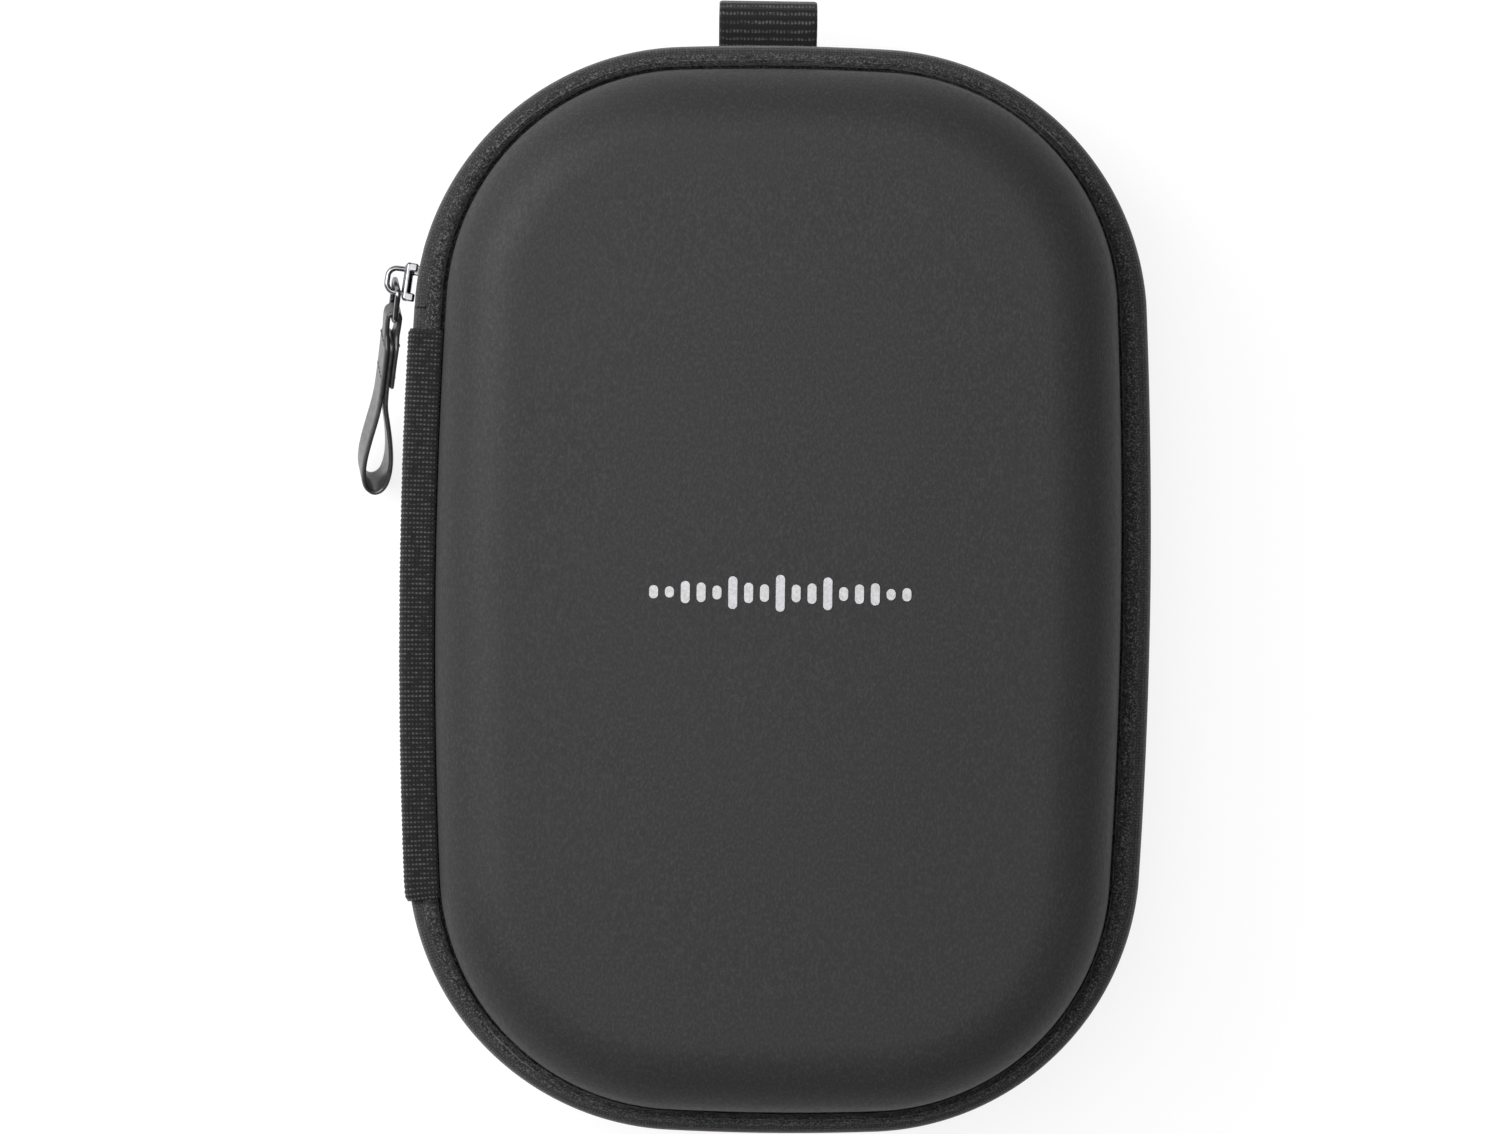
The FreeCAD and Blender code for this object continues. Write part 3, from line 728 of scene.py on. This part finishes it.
# The stretch beside the parked slider ends above it.
SHORT_TAPE_SECTION = TAPE_OUTSIDE + (
    (-0.05, 4.2, 1.0),
    (-0.15, 3.75, 1.0),
    (-0.55, 3.75, 1.0),
    (-0.75, 4.3, 0.985),
) + TAPE_INSIDE
slider_low, slider_high = box_mm("slider_body")
SLIDER_ROOM = 0.5
TAPE_LAP = 0.7
TAPE_TUCK = 3.0
COIL_PITCH = 1.4
COIL_POINTS = 12
COIL_WIRE = 0.27
COIL_INSET = 1.28
COIL_HALF_WIDTH = 0.45
COIL_HEIGHT = 1.05
COIL_HALF_HEIGHT = 1.25


def beside_band(points, tuck):
    """The stretch with the hinge band, less what is tucked behind each end of it."""
    x, y = points[:, 0], points[:, 1]
    return (x < 0) & (y > HINGE_LOW_Y + tuck) & (y < HINGE_HIGH_Y - tuck)


def beside_slider(points, room=SLIDER_ROOM):
    x, y = points[:, 0], points[:, 1]
    return (x < 0) & (y > slider_low.y - room) & (y < slider_high.y + room)


def coil_teeth(name, side, shift):
    """Nylon coil behind the zip tape: loops leaning across the parting plane."""
    path = Ring(COIL_STEP)
    reach = path.zip_reach()
    parts = []
    keep = ~beside_band(path.points, 0.0)
    if side > 0:
        keep &= ~beside_slider(path.points)
    for picked in path.stretch(keep):
        run = path.run[picked]
        run = np.where(run < run[0], run + path.length, run) - run[0]
        if run[-1] < 3 * COIL_PITCH:
            continue
        loops = int(run[-1] / COIL_PITCH) - 1
        turns = np.arange(loops * COIL_POINTS) / COIL_POINTS
        where = (turns + shift) * COIL_PITCH
        x = np.interp(where, run, path.points[picked, 0])
        y = np.interp(where, run, path.points[picked, 1])
        nx = np.interp(where, run, path.normals[picked, 0])
        ny = np.interp(where, run, path.normals[picked, 1])
        out = np.interp(where, run, reach[picked]) - COIL_INSET
        angle = 2 * math.pi * turns
        offset = out + COIL_HALF_WIDTH * np.cos(angle)
        height = COIL_HEIGHT + COIL_HALF_HEIGHT * np.sin(angle)
        points = np.stack([x + nx * offset, y + ny * offset, PARTING + side * height], axis=1)
        parts.append(tube(points, COIL_WIRE, 6))
    return joined_object(name, parts, NYLON)


for half, side, shift in (("lid", 1, 0.25), ("base", -1, 0.75)):
    band = swept_object(
        f"{half}_rim_band", rim_ring, None, knit_section(), side, KNIT, True,
        reach=rim_ring.zip_reach(), shift=knit_bumps,
    )
    on_body(band, half, "rim_knit", f"{half}_rim_binding")
    keep = ~beside_band(rim_ring.points, TAPE_TUCK)
    if side > 0:
        runs = [(p, TAPE_SECTION) for p in rim_ring.stretch(keep & ~beside_slider(rim_ring.points))]
        short = beside_slider(rim_ring.points, SLIDER_ROOM + TAPE_LAP)
        runs += [(p, SHORT_TAPE_SECTION) for p in rim_ring.stretch(short)]
    else:
        runs = [(p, TAPE_SECTION) for p in rim_ring.stretch(keep)]
    for number, (picked, section) in enumerate(runs):
        piece = swept_object(
            f"{half}_zip_tape_{number + 1}", rim_ring, picked, section, side, TAPE, False,
            reach=rim_ring.zip_reach(),
        )
        on_body(piece, half, "zip_tape", f"{half}_zip_tape")
    teeth = coil_teeth(f"{half}_zip_coil", side, shift)
    on_body(teeth, half, "zip_coil", f"{half}_zip_teeth")


# ---------------- hinge bands
WEB_THICK = 0.75
WEB_RIB_PITCH = 0.9
WEB_RIB_DEPTH = 0.14
TROUGH_BEND = 2.6


def web_section():
    """Section of the ribbed band, which wraps the rims of both halves: outside first, then back inside."""
    top = RIM_HEIGHT + WEB_THICK + 0.05
    curve = 1.9
    centre_x = WEB_REACH - curve
    upper = [(0.35, top - 1.1), (0.5, top - 0.45), (0.95, top - 0.08), (1.5, top), (centre_x, top - 0.12)]
    upper += arc((centre_x, top - 0.12 - curve), curve, 80, 0, 7)
    outside = densify(upper + [(d, -h) for d, h in reversed(upper)], 0.55)
    inset = WEB_THICK
    lower = [(1.05, top - 1.15), (1.5, top - inset), (centre_x, top - 0.12 - inset)]
    lower += arc((centre_x, top - 0.12 - curve), curve - inset, 70, 0, 4)
    inside = densify([(d, -h) for d, h in lower] + [(d, h) for d, h in reversed(lower)], 1.3)
    return outside, inside


def hinge_web():
    outside, inside = web_section()
    x, y = web_ring.points[:, 0], web_ring.points[:, 1]
    picked = web_ring.stretch((x < 0) & (y > HINGE_LOW_Y) & (y < HINGE_HIGH_Y))[0]

    def ribs(verts, uvs):
        normals = grid_normals(verts)
        if normals[len(verts) // 2, len(outside) // 2, 0] > 0:
            normals = -normals
        run = uvs[..., 0] - uvs[:1, :1, 0]
        end = np.minimum(run, run.max() - run)
        wave = 0.5 + 0.5 * np.cos(2 * math.pi * run / WEB_RIB_PITCH)
        lift = WEB_RIB_DEPTH * (wave - 0.5) * smooth(end / 1.2)
        lift -= 0.35 * (1 - smooth(end / 0.9))
        lift[:, len(outside):] = 0
        verts = verts + normals * lift[..., None]
        return rough_noise(verts, 1.7, 0.05)

    web = swept_object("hinge_band", web_ring, picked, outside + inside, 1, HINGE_WEBBING, False, shift=ribs)
    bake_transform(web)
    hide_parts("hinge_outer_web")


def hinge_trough():
    """Tape behind the band: it covers both shells' edges and the gap between them."""
    low, high = box_mm("hinge_inner_tape")
    x, y = rim_ring.points[:, 0], rim_ring.points[:, 1]
    picked = rim_ring.stretch((x < 0) & (y > low.y) & (y < high.y))[0]
    back, lip, tall, thick = 3.7, -WALL_THICK + 0.2, SHELL_GAP - 0.08, 0.6
    upper = [(lip, tall), (back - 1.2, tall)]
    upper += arc((back - 1.2, tall - 1.2), 1.2, 80, 0, 5)
    outside = densify(upper + [(d, -h) for d, h in reversed(upper)], 0.6)
    lower = [(lip, tall - thick), (back - 1.2, tall - thick)]
    lower += arc((back - 1.2, tall - 1.2), 1.2 - thick, 70, 0, 3)
    inside = densify([(d, -h) for d, h in lower] + [(d, h) for d, h in reversed(lower)], 0.6)
    trough = swept_object("hinge_lining_tape", rim_ring, picked, outside + inside, 1, TAPE, False)
    low, high = (PARTING - TROUGH_BEND) * MM, (PARTING + TROUGH_BEND) * MM
    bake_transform(trough)
    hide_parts("hinge_inner_tape")


hinge_web()
hinge_trough()


# ---------------- ribbons
def cut_corners(points, rounds=4):
    """Smooth line near a few points, with its two ends kept."""
    points = np.asarray(points, float)
    for _ in range(rounds):
        first = points[:-1] * 0.75 + points[1:] * 0.25
        second = points[:-1] * 0.25 + points[1:] * 0.75
        middle = np.stack([first, second], axis=1).reshape(-1, points.shape[1])
        points = np.concatenate([points[:1], middle[1:-1], points[-1:]])
    return points


def spaced(points, step):
    """The same line with even gaps."""
    gaps = np.linalg.norm(np.diff(points, axis=0), axis=1)
    run = np.concatenate([[0], np.cumsum(gaps)])
    where = np.linspace(0, run[-1], max(2, round(run[-1] / step)) + 1)
    return np.stack([np.interp(where, run, points[:, k]) for k in range(points.shape[1])], axis=1), where


def ribbon(name, path, half_width, thickness, frame_axes, material, columns=12, relief=None, edge=0.3):
    """Band along a flat path, with rounded long edges. frame_axes are its origin and three directions."""
    origin, first, second, wide = (np.asarray(v, float) for v in frame_axes)
    line, run = spaced(np.asarray(path, float), 0.3)
    tangent = np.gradient(line, axis=0)
    tangent /= np.linalg.norm(tangent, axis=1)[:, None]
    normal = np.stack([-tangent[:, 1], tangent[:, 0]], axis=1)
    widths = half_width(run) if callable(half_width) else np.full(len(run), half_width)
    half = thickness / 2
    shares = np.linspace(-1, 1, columns)
    rows = []
    for face in (1, -1):
        for share in (shares if face > 0 else shares[::-1]):
            across = share * widths
            into_edge = np.clip((np.abs(across) - (widths - edge)) / edge, 0, 1)
            lift = half - edge * (1 - np.sqrt(1 - into_edge ** 2)) * 0.9
            if relief is not None:
                lift = lift + relief(run, across)
            rows.append((across, face * lift))
    across = np.stack([r[0] for r in rows], axis=1)
    lift = np.stack([r[1] for r in rows], axis=1)
    flat = line[:, None, :] + normal[:, None, :] * lift[..., None]
    verts = origin + flat[..., :1] * first + flat[..., 1:2] * second + across[..., None] * wide
    uvs = np.stack([run[:, None] + 0 * across, across], axis=-1)
    count = across.shape[1]
    faces = grid_faces(len(run), count, False, True)
    faces.append(tuple(range(count)))
    faces.append(tuple((len(run) - 1) * count + j for j in range(count)))
    obj = make_object(name, verts.reshape(-1, 3), faces, uvs.reshape(-1, 2), material)
    outward(obj)
    return obj


# ---------------- hanging loop
LOOP_HALF_WIDTH = (loop_high.x - loop_low.x) / 2
LOOP_CENTRE_X = (loop_high.x + loop_low.x) / 2
LOOP_CENTRE_Z = (loop_high.z + loop_low.z) / 2
LOOP_THICK = 1.25
LOOP_RADIUS = (loop_high.z - loop_low.z) / 2 - LOOP_THICK / 2
LOOP_CENTRE_Y = loop_high.y - LOOP_RADIUS - LOOP_THICK / 2
LOOP_ROOT_Y = loop_low.y - 0.3
LOOP_RIB_PITCH = 1.55


def hanging_loop():
    reach = LOOP_CENTRE_Y - LOOP_ROOT_Y
    lean = math.degrees(math.acos((LOOP_RADIUS - LOOP_THICK / 2) / reach))
    bend = arc((LOOP_CENTRE_Y, 0), LOOP_RADIUS, 180 - lean, lean - 180, 40)
    path = [(LOOP_ROOT_Y, LOOP_THICK / 2 + 0.1)] + bend + [(LOOP_ROOT_Y, -LOOP_THICK / 2 - 0.1)]

    def ribs(run, across):
        wave = 0.5 + 0.5 * np.cos(2 * math.pi * run / LOOP_RIB_PITCH)
        return 0.16 * (wave - 0.6)

    def half_width(run):
        end = np.minimum(run, run[-1] - run)
        return LOOP_HALF_WIDTH + 0.7 * (1 - smooth(end / 2.2))

    axes = ((LOOP_CENTRE_X, 0, LOOP_CENTRE_Z), (0, 1, 0), (0, 0, 1), (1, 0, 0))
    loop = ribbon("hanging_loop", path, half_width, LOOP_THICK, axes, LOOP_WEBBING, 40, ribs)
    on_body(loop, "base", "webbing", "hang_loop")


def loop_tack():
    """Bar tack across the webbing, where it goes into the rim."""
    low, high = box_mm("hang_loop_stitch")
    parts = []
    count = 26
    for row in range(2):
        for k in range(count):
            x = low.x + (high.x - low.x) * (k + 0.5 * row) / count
            y0, y1 = low.y + 0.1 + 0.15 * row, low.y + 0.8 + 0.15 * row
            line = []
            for t in np.linspace(0, 1, 5):
                y = y0 + (y1 - y0) * t
                rise = math.sqrt(max(0.0, (LOOP_RADIUS + LOOP_THICK / 2) ** 2 - (LOOP_CENTRE_Y - y) ** 2))
                rise += 0.1 * math.sin(math.pi * t) - 0.05
                line.append((x + 0.5 * t - 0.25, y, LOOP_CENTRE_Z + rise))
            parts.append(tube(line, 0.13, 5))
    on_body(joined_object("hanging_loop_tack", parts, THREAD), "base", "thread", "hang_loop_stitch")


hanging_loop()
loop_tack()


# ---------------- slider and pull
def melt(name, parts, size, material, rounds=3):
    """Several overlapping solids run together as one casting."""
    obj = joined_object(name, parts, material)
    remesh = obj.modifiers.new("remesh", "REMESH")
    remesh.mode = "VOXEL"
    remesh.voxel_size = size * MM
    remesh.use_smooth_shade = True
    ease = obj.modifiers.new("ease", "SMOOTH")
    ease.factor = 0.5
    ease.iterations = rounds
    apply_modifiers(obj)
    return obj


def apply_modifiers(obj):
    depsgraph = bpy.context.evaluated_depsgraph_get()
    made = bpy.data.meshes.new_from_object(obj.evaluated_get(depsgraph))
    obj.modifiers.clear()
    obj.data = made
    made.shade_smooth()


def placed(part, axes):
    """Local vertices put into the frame: axes are an origin and three directions."""
    verts, faces = part
    origin, x, y, z = (np.asarray(v, float) for v in axes)
    verts = np.asarray(verts)
    return origin + verts[:, :1] * x + verts[:, 1:2] * y + verts[:, 2:3] * z, faces


arm_place = np.array(joint["pull_lift"]["pos_m"]) / MM
outwards = np.array(joint["pull_lift"]["axis"])
upwards = np.array((0.0, 0.0, 1.0))
backwards = np.cross(upwards, outwards)
ARM_X, ARM_Y = 3.9, 2.35
wall_place = arm_place - ARM_X * outwards - ARM_Y * backwards
SLIDER_AXES = (wall_place, outwards, backwards, upwards)


def slider_pieces():
    long, tall = 3.8, 3.2
    parts = [rounded_box((1.2, -long, -tall), (2.5, long, tall), 0.6, 4)]
    parts.append(rounded_box((1.0, -long + 0.3, -tall + 0.5), (2.75, long - 0.3, tall - 0.5), 0.6, 4))
    parts.append(rounded_box((-3.0, -long, -tall), (-2.1, long, tall), 0.4, 3))
    parts.append(rounded_box((-2.6, -long + 0.4, -0.5), (1.6, -long + 2.4, 0.5), 0.25, 3))
    for end in (-1, 1):
        for face in (-1, 1):
            ys = sorted((end * (long - 0.1), end * (long - 1.7)))
            zs = sorted((face * tall, face * (tall - 0.85)))
            parts.append(rounded_box((0.25, ys[0], zs[0]), (1.8, ys[1], zs[1]), 0.28, 3))
    body = melt("slider_casting", [placed(p, SLIDER_AXES) for p in parts], 0.11, CHROME)
    on_body(body, "slider", "slider_metal", "slider_body")

    half, far, radius = 2.35, 5.85, 1.7
    line = [(2.2, -half)]
    line += arc((far - radius, -half + radius), radius, 270, 360, 8)
    line += arc((far - radius, half - radius), radius, 0, 90, 8)
    line += [(2.2, half)]
    line = np.array([(x, y, 0.0) for x, y in spaced(np.array(line), 0.3)[0]])
    crown = melt("slider_loop", [placed(tube(line, 0.56, 12, flatten=1.32), SLIDER_AXES)], 0.1, CHROME, 2)
    on_body(crown, "slider", "slider_metal", "slider_crown")


def link_and_strap_axes():
    bar_place = np.array(joint["strap_swing"]["pos_m"]) / MM
    along = bar_place - arm_place
    along /= np.linalg.norm(along)
    wide = -np.array(joint["strap_swing"]["axis"])
    wide /= np.linalg.norm(wide)
    out = np.cross(along, wide)
    return bar_place, along, out, wide


def pull_link():
    bar_place, along, out, wide = link_and_strap_axes()
    far = np.linalg.norm(bar_place - arm_place)
    near, half, bend = -1.6, 3.05, 1.0
    corners = ((far, 1, 0), (near, 1, 90), (near, -1, 180), (far, -1, 270))
    line = []
    for x, side, start in corners:
        centre = (x - bend if x == far else x + bend, side * (half - bend))
        line += arc(centre, bend, start, start + 90, 7)
    points = np.array([(x, y, 0.0) for x, y in line])
    ring = placed(tube(points, 0.55, 14, closed=True), (arm_place, along, wide, out))
    link = joined_object("pull_link_ring", [ring], CHROME)
    outward(link)
    on_body(link, "link", "slider_metal", "pull_link")


STRAP_LAYER = 0.92


def pull_strap():
    bar_place, along, out, wide = link_and_strap_axes()
    eye = 1.18
    pinch = STRAP_LAYER * 0.98
    path = [(14.5, -pinch), (9, -pinch), (4.2, -pinch - 0.1), (2.0, -pinch - 0.25)]
    path += arc((0, 0), eye, 270, 90, 9)
    path += [(2.0, pinch + 0.25), (4.2, pinch + 0.1), (9, pinch), (14, pinch), (18.5, pinch + 0.05)]
    path += [(22, 1.3), (27, 2.1), (31.5, 2.65), (35, 2.6), (37.6, 1.9), (38.9, 0.1)]
    path += [(37.8, -1.8), (35, -2.55), (31.5, -2.6), (27, -1.95), (22.5, -0.95), (19.5, -0.2)]
    path += [(16, 0.0), (10, 0.0), (5.0, 0.0)]
    line = cut_corners(path, 3)

    def half_width(run):
        place = np.interp(run, line_run, line[:, 0])
        spread = smooth((np.abs(place) - 3.3) / 3.0)
        return 2.1 + 1.9 * spread

    gaps = np.linalg.norm(np.diff(line, axis=0), axis=1)
    line_run = np.concatenate([[0], np.cumsum(gaps)])
    axes = (bar_place, along, out, wide)
    strap = ribbon("pull_strap_band", line, half_width, STRAP_LAYER, axes, HIDE, 14, None, 0.28)
    on_body(strap, "strap", "strap_leather", "pull_strap")

    parts = []
    outer = STRAP_LAYER * 1.5 + 0.02
    for x in (5.4, 12.6):
        for k in range(4):
            middle = (k - 1.5) * 1.7
            for face in (1, -1):
                lift = outer + (0.12 if x < 6 else 0.0)
                points = [(x, face * (lift - 0.12), middle - 0.62), (x, face * lift, middle - 0.4)]
                points += [(x, face * lift, middle + 0.4), (x, face * (lift - 0.12), middle + 0.62)]
                parts.append(placed(tube(cut_corners(points, 2), 0.14, 6, up=(1, 0, 0)), axes))
    on_body(joined_object("pull_strap_thread", parts, THREAD), "strap", "thread", "pull_strap_stitch")


def zip_stop_pieces():
    """Metal stops at both ends of the base's coil."""
    verts = points_mm("zip_stops")
    parts = []
    for sign in (-1, 1):
        near = verts[verts[:, 1] * sign > 0]
        parts.append(rounded_box(near.min(0) - 0.05, near.max(0) + 0.05, 0.3, 3))
    stops = melt("zip_stop_pair", parts, 0.09, CHROME, 2)
    on_body(stops, "base", "slider_metal", "zip_stops")


slider_pieces()
pull_link()
pull_strap()
zip_stop_pieces()


# ---------------- printed mark
def printed_mark():
    """The sound wave's bars, laid on the crowned face."""
    verts = points_mm("lid_print")
    faces = [tuple(p.vertices) for p in frame["nodes"]["lid_print"].data.polygons]
    verts[:, 2] -= crown_drop(verts[:, 0], verts[:, 1]) + 0.06
    mark = make_object("lid_sound_wave", verts, faces, None, INK, smooth_shade=False)
    on_body(mark, "lid", "print_ink", "lid_print")


printed_mark()


# ---------------- inside of the base
def tray():
    source = frame["nodes"]["base_tray"].data
    mesh = source.copy()
    mesh.materials.clear()
    obj = bpy.data.objects.new("ear_cup_tray", mesh)
    bpy.context.scene.collection.objects.link(obj)
    mesh.materials.append(FLOCK)
    remesh = obj.modifiers.new("remesh", "REMESH")
    remesh.mode = "VOXEL"
    remesh.voxel_size = 1.3 * MM
    ease = obj.modifiers.new("ease", "SMOOTH")
    ease.factor = 0.5
    ease.iterations = 6
    apply_modifiers(obj)
    on_body(obj, "base", "tray_flock", "base_tray")


tray()


# ---------------- pocket in the lid
pocket_low, pocket_high = box_mm("lid_pocket_binding")
net_low, net_high = box_mm("lid_pocket_mesh")
elastic_low, elastic_high = box_mm("lid_pocket_elastic")
POCKET_OFFSET = pocket_high.x - FACE_HALF_WIDTH
POCKET_TRIM = 4.0
ELASTIC_WAVE = 0.12


def inside_outline(points, offset):
    """Which points lie within the face's outline moved outwards by offset."""
    edge = dome_ring.points + dome_ring.normals * offset
    reach = (points[:, None, :] - edge[None, :, :]) * dome_ring.normals[None, :, :]
    return reach.sum(axis=2).max(axis=1) < 0


def pocket_trim():
    picked = dome_ring.stretch(dome_ring.points[:, 1] < pocket_high.y)[0]
    low, high = pocket_low.z - PARTING, pocket_high.z - PARTING
    middle, half = (low + high) / 2, (high - low) / 2
    outer = arc((POCKET_OFFSET - half, middle), half, 90, -90, 7)
    inner = arc((POCKET_OFFSET - POCKET_TRIM + half, middle), half, 270, 90, 7)
    trim = swept_object("pocket_trim", dome_ring, picked, outer + inner, 1, TRIM_WEBBING, False)
    on_body(trim, "lid", "elastic", "lid_pocket_binding")


def pocket_net():
    """Two sets of slanting yarns, woven over and under each other."""
    pitch, yarn, slant = 1.8, 0.24, 0.62
    middle = (net_low.z + net_high.z) / 2
    top = net_high.y + 1.0
    parts = []
    span = math.hypot(net_high.x - net_low.x, net_high.y - net_low.y)
    count = int(span / pitch)
    for family in (-1, 1):
        along = np.array((math.cos(slant), family * math.sin(slant)))
        across = np.array((-along[1], along[0]))
        for k in range(-count, count + 1):
            turns = np.arange(-span, span, pitch / 2)
            flat = k * pitch * across + turns[:, None] * along
            flat[:, 1] += (net_low.y + net_high.y) / 2
            kept = inside_outline(flat, POCKET_OFFSET - 1.2) & (flat[:, 1] < top)
            if kept.sum() < 4:
                continue
            flat = flat[kept]
            weave = 0.14 * family * np.cos(math.pi * np.arange(len(flat)) + k * math.pi)
            line = np.column_stack([flat, middle + weave])
            parts.append(tube(line, yarn, 4))
    net = joined_object("pocket_net", parts, NET)
    on_body(net, "lid", "pocket_net", "lid_pocket_mesh")
    width = (net_high.x - net_low.x) * MM
    length = (net_high.y - net_low.y) * MM
    return net, width, length


def pocket_elastic():
    low, high = elastic_low, elastic_high
    middle = (low.z + high.z) / 2
    ends = 0.6
    line = [(x, ELASTIC_WAVE * math.sin(x * 1.1)) for x in np.linspace(low.x + ends, high.x - ends, 160)]

    def ribs(run, across):
        return 0.07 * np.cos(2 * math.pi * across / 0.8) + 0.05 * np.cos(2 * math.pi * run / 1.3)

    axes = ((0, (low.y + high.y) / 2, middle), (1, 0, 0), (0, 0, 1), (0, 1, 0))
    band = ribbon("pocket_elastic", line, (high.y - low.y) / 2, 0.85, axes, TRIM_WEBBING, 42, ribs)
    on_body(band, "lid", "elastic", "lid_pocket_elastic")


pocket_trim()
net_cloth, net_width, net_length = pocket_net()
pocket_elastic()


# ---------------- camera, floor and light
AIM_X, AIM_Y = -4.15, 4.4
CAMERA_LEFT, CAMERA_UP, CAMERA_ROLL = 1.2, 1.2, 0.7
SENSOR_WIDTH = 36.0
CAMERA_DISTANCE = 1.3
FRAME_WIDTH = 0.2939
FLOOR_DROP = 0.0002
FLOOR_HALF_SIZE = 3.0


def studio():
    world = bpy.data.worlds.new("studio")
    world.use_nodes = True
    world.node_tree.nodes["Background"].inputs["Color"].default_value = (0.8, 0.8, 0.8, 1)
    world.node_tree.nodes["Background"].inputs["Strength"].default_value = 0.15
    scene = bpy.context.scene
    scene.world = world
    scene.view_settings.view_transform = "Standard"

    work = bmesh.new()
    bmesh.ops.create_grid(work, x_segments=2, y_segments=2, size=FLOOR_HALF_SIZE)
    mesh = bpy.data.meshes.new("studio_floor")
    work.to_mesh(mesh)
    work.free()
    mesh.materials.append(floor_paint())
    ground = bpy.data.objects.new("studio_floor", mesh)
    scene.collection.objects.link(ground)
    ground.location.z = -FLOOR_DROP


def softbox(name, place, aim, size, power):
    lamp = bpy.data.lights.new(name, "AREA")
    lamp.shape = "RECTANGLE"
    lamp.size, lamp.size_y = size
    lamp.energy = power
    obj = bpy.data.objects.new(name, lamp)
    bpy.context.scene.collection.objects.link(obj)
    obj.location = place
    obj.rotation_euler = (Vector(aim) - Vector(place)).to_track_quat("-Z", "Y").to_euler()
    obj.visible_camera = False


def camera():
    data = bpy.data.cameras.new("camera")
    data.sensor_width = SENSOR_WIDTH
    data.lens = SENSOR_WIDTH * CAMERA_DISTANCE / FRAME_WIDTH
    data.clip_start, data.clip_end = 0.05, 20
    obj = bpy.data.objects.new("camera", data)
    bpy.context.scene.collection.objects.link(obj)
    aim = Vector((AIM_X * MM, AIM_Y * MM, PARTING * MM))
    lean_x, lean_y = math.radians(CAMERA_LEFT), math.radians(CAMERA_UP)
    back = Vector((-math.sin(lean_x), math.sin(lean_y), 1)).normalized()
    obj.location = aim + back * CAMERA_DISTANCE
    roll = math.radians(CAMERA_ROLL)
    side = Vector((math.cos(roll), math.sin(roll), 0))
    up = back.cross(side).normalized()
    side = up.cross(back)
    turn = Matrix((side, up, back)).transposed().to_4x4()
    turn.translation = obj.location
    obj.matrix_world = turn
    bpy.context.scene.camera = obj


studio()
softbox("softbox_above", (-0.35, 0.25, 1.5), (-0.05, 0.05, 0), (1.5, 1.3), 18)
softbox("softbox_left", (-0.62, 0.3, 0.55), (-0.05, 0.05, 0.03), (0.6, 0.45), 6.5)
softbox("softbox_right", (1.1, -0.5, 0.8), (0, 0, 0.02), (0.9, 0.6), 2.0)
camera()
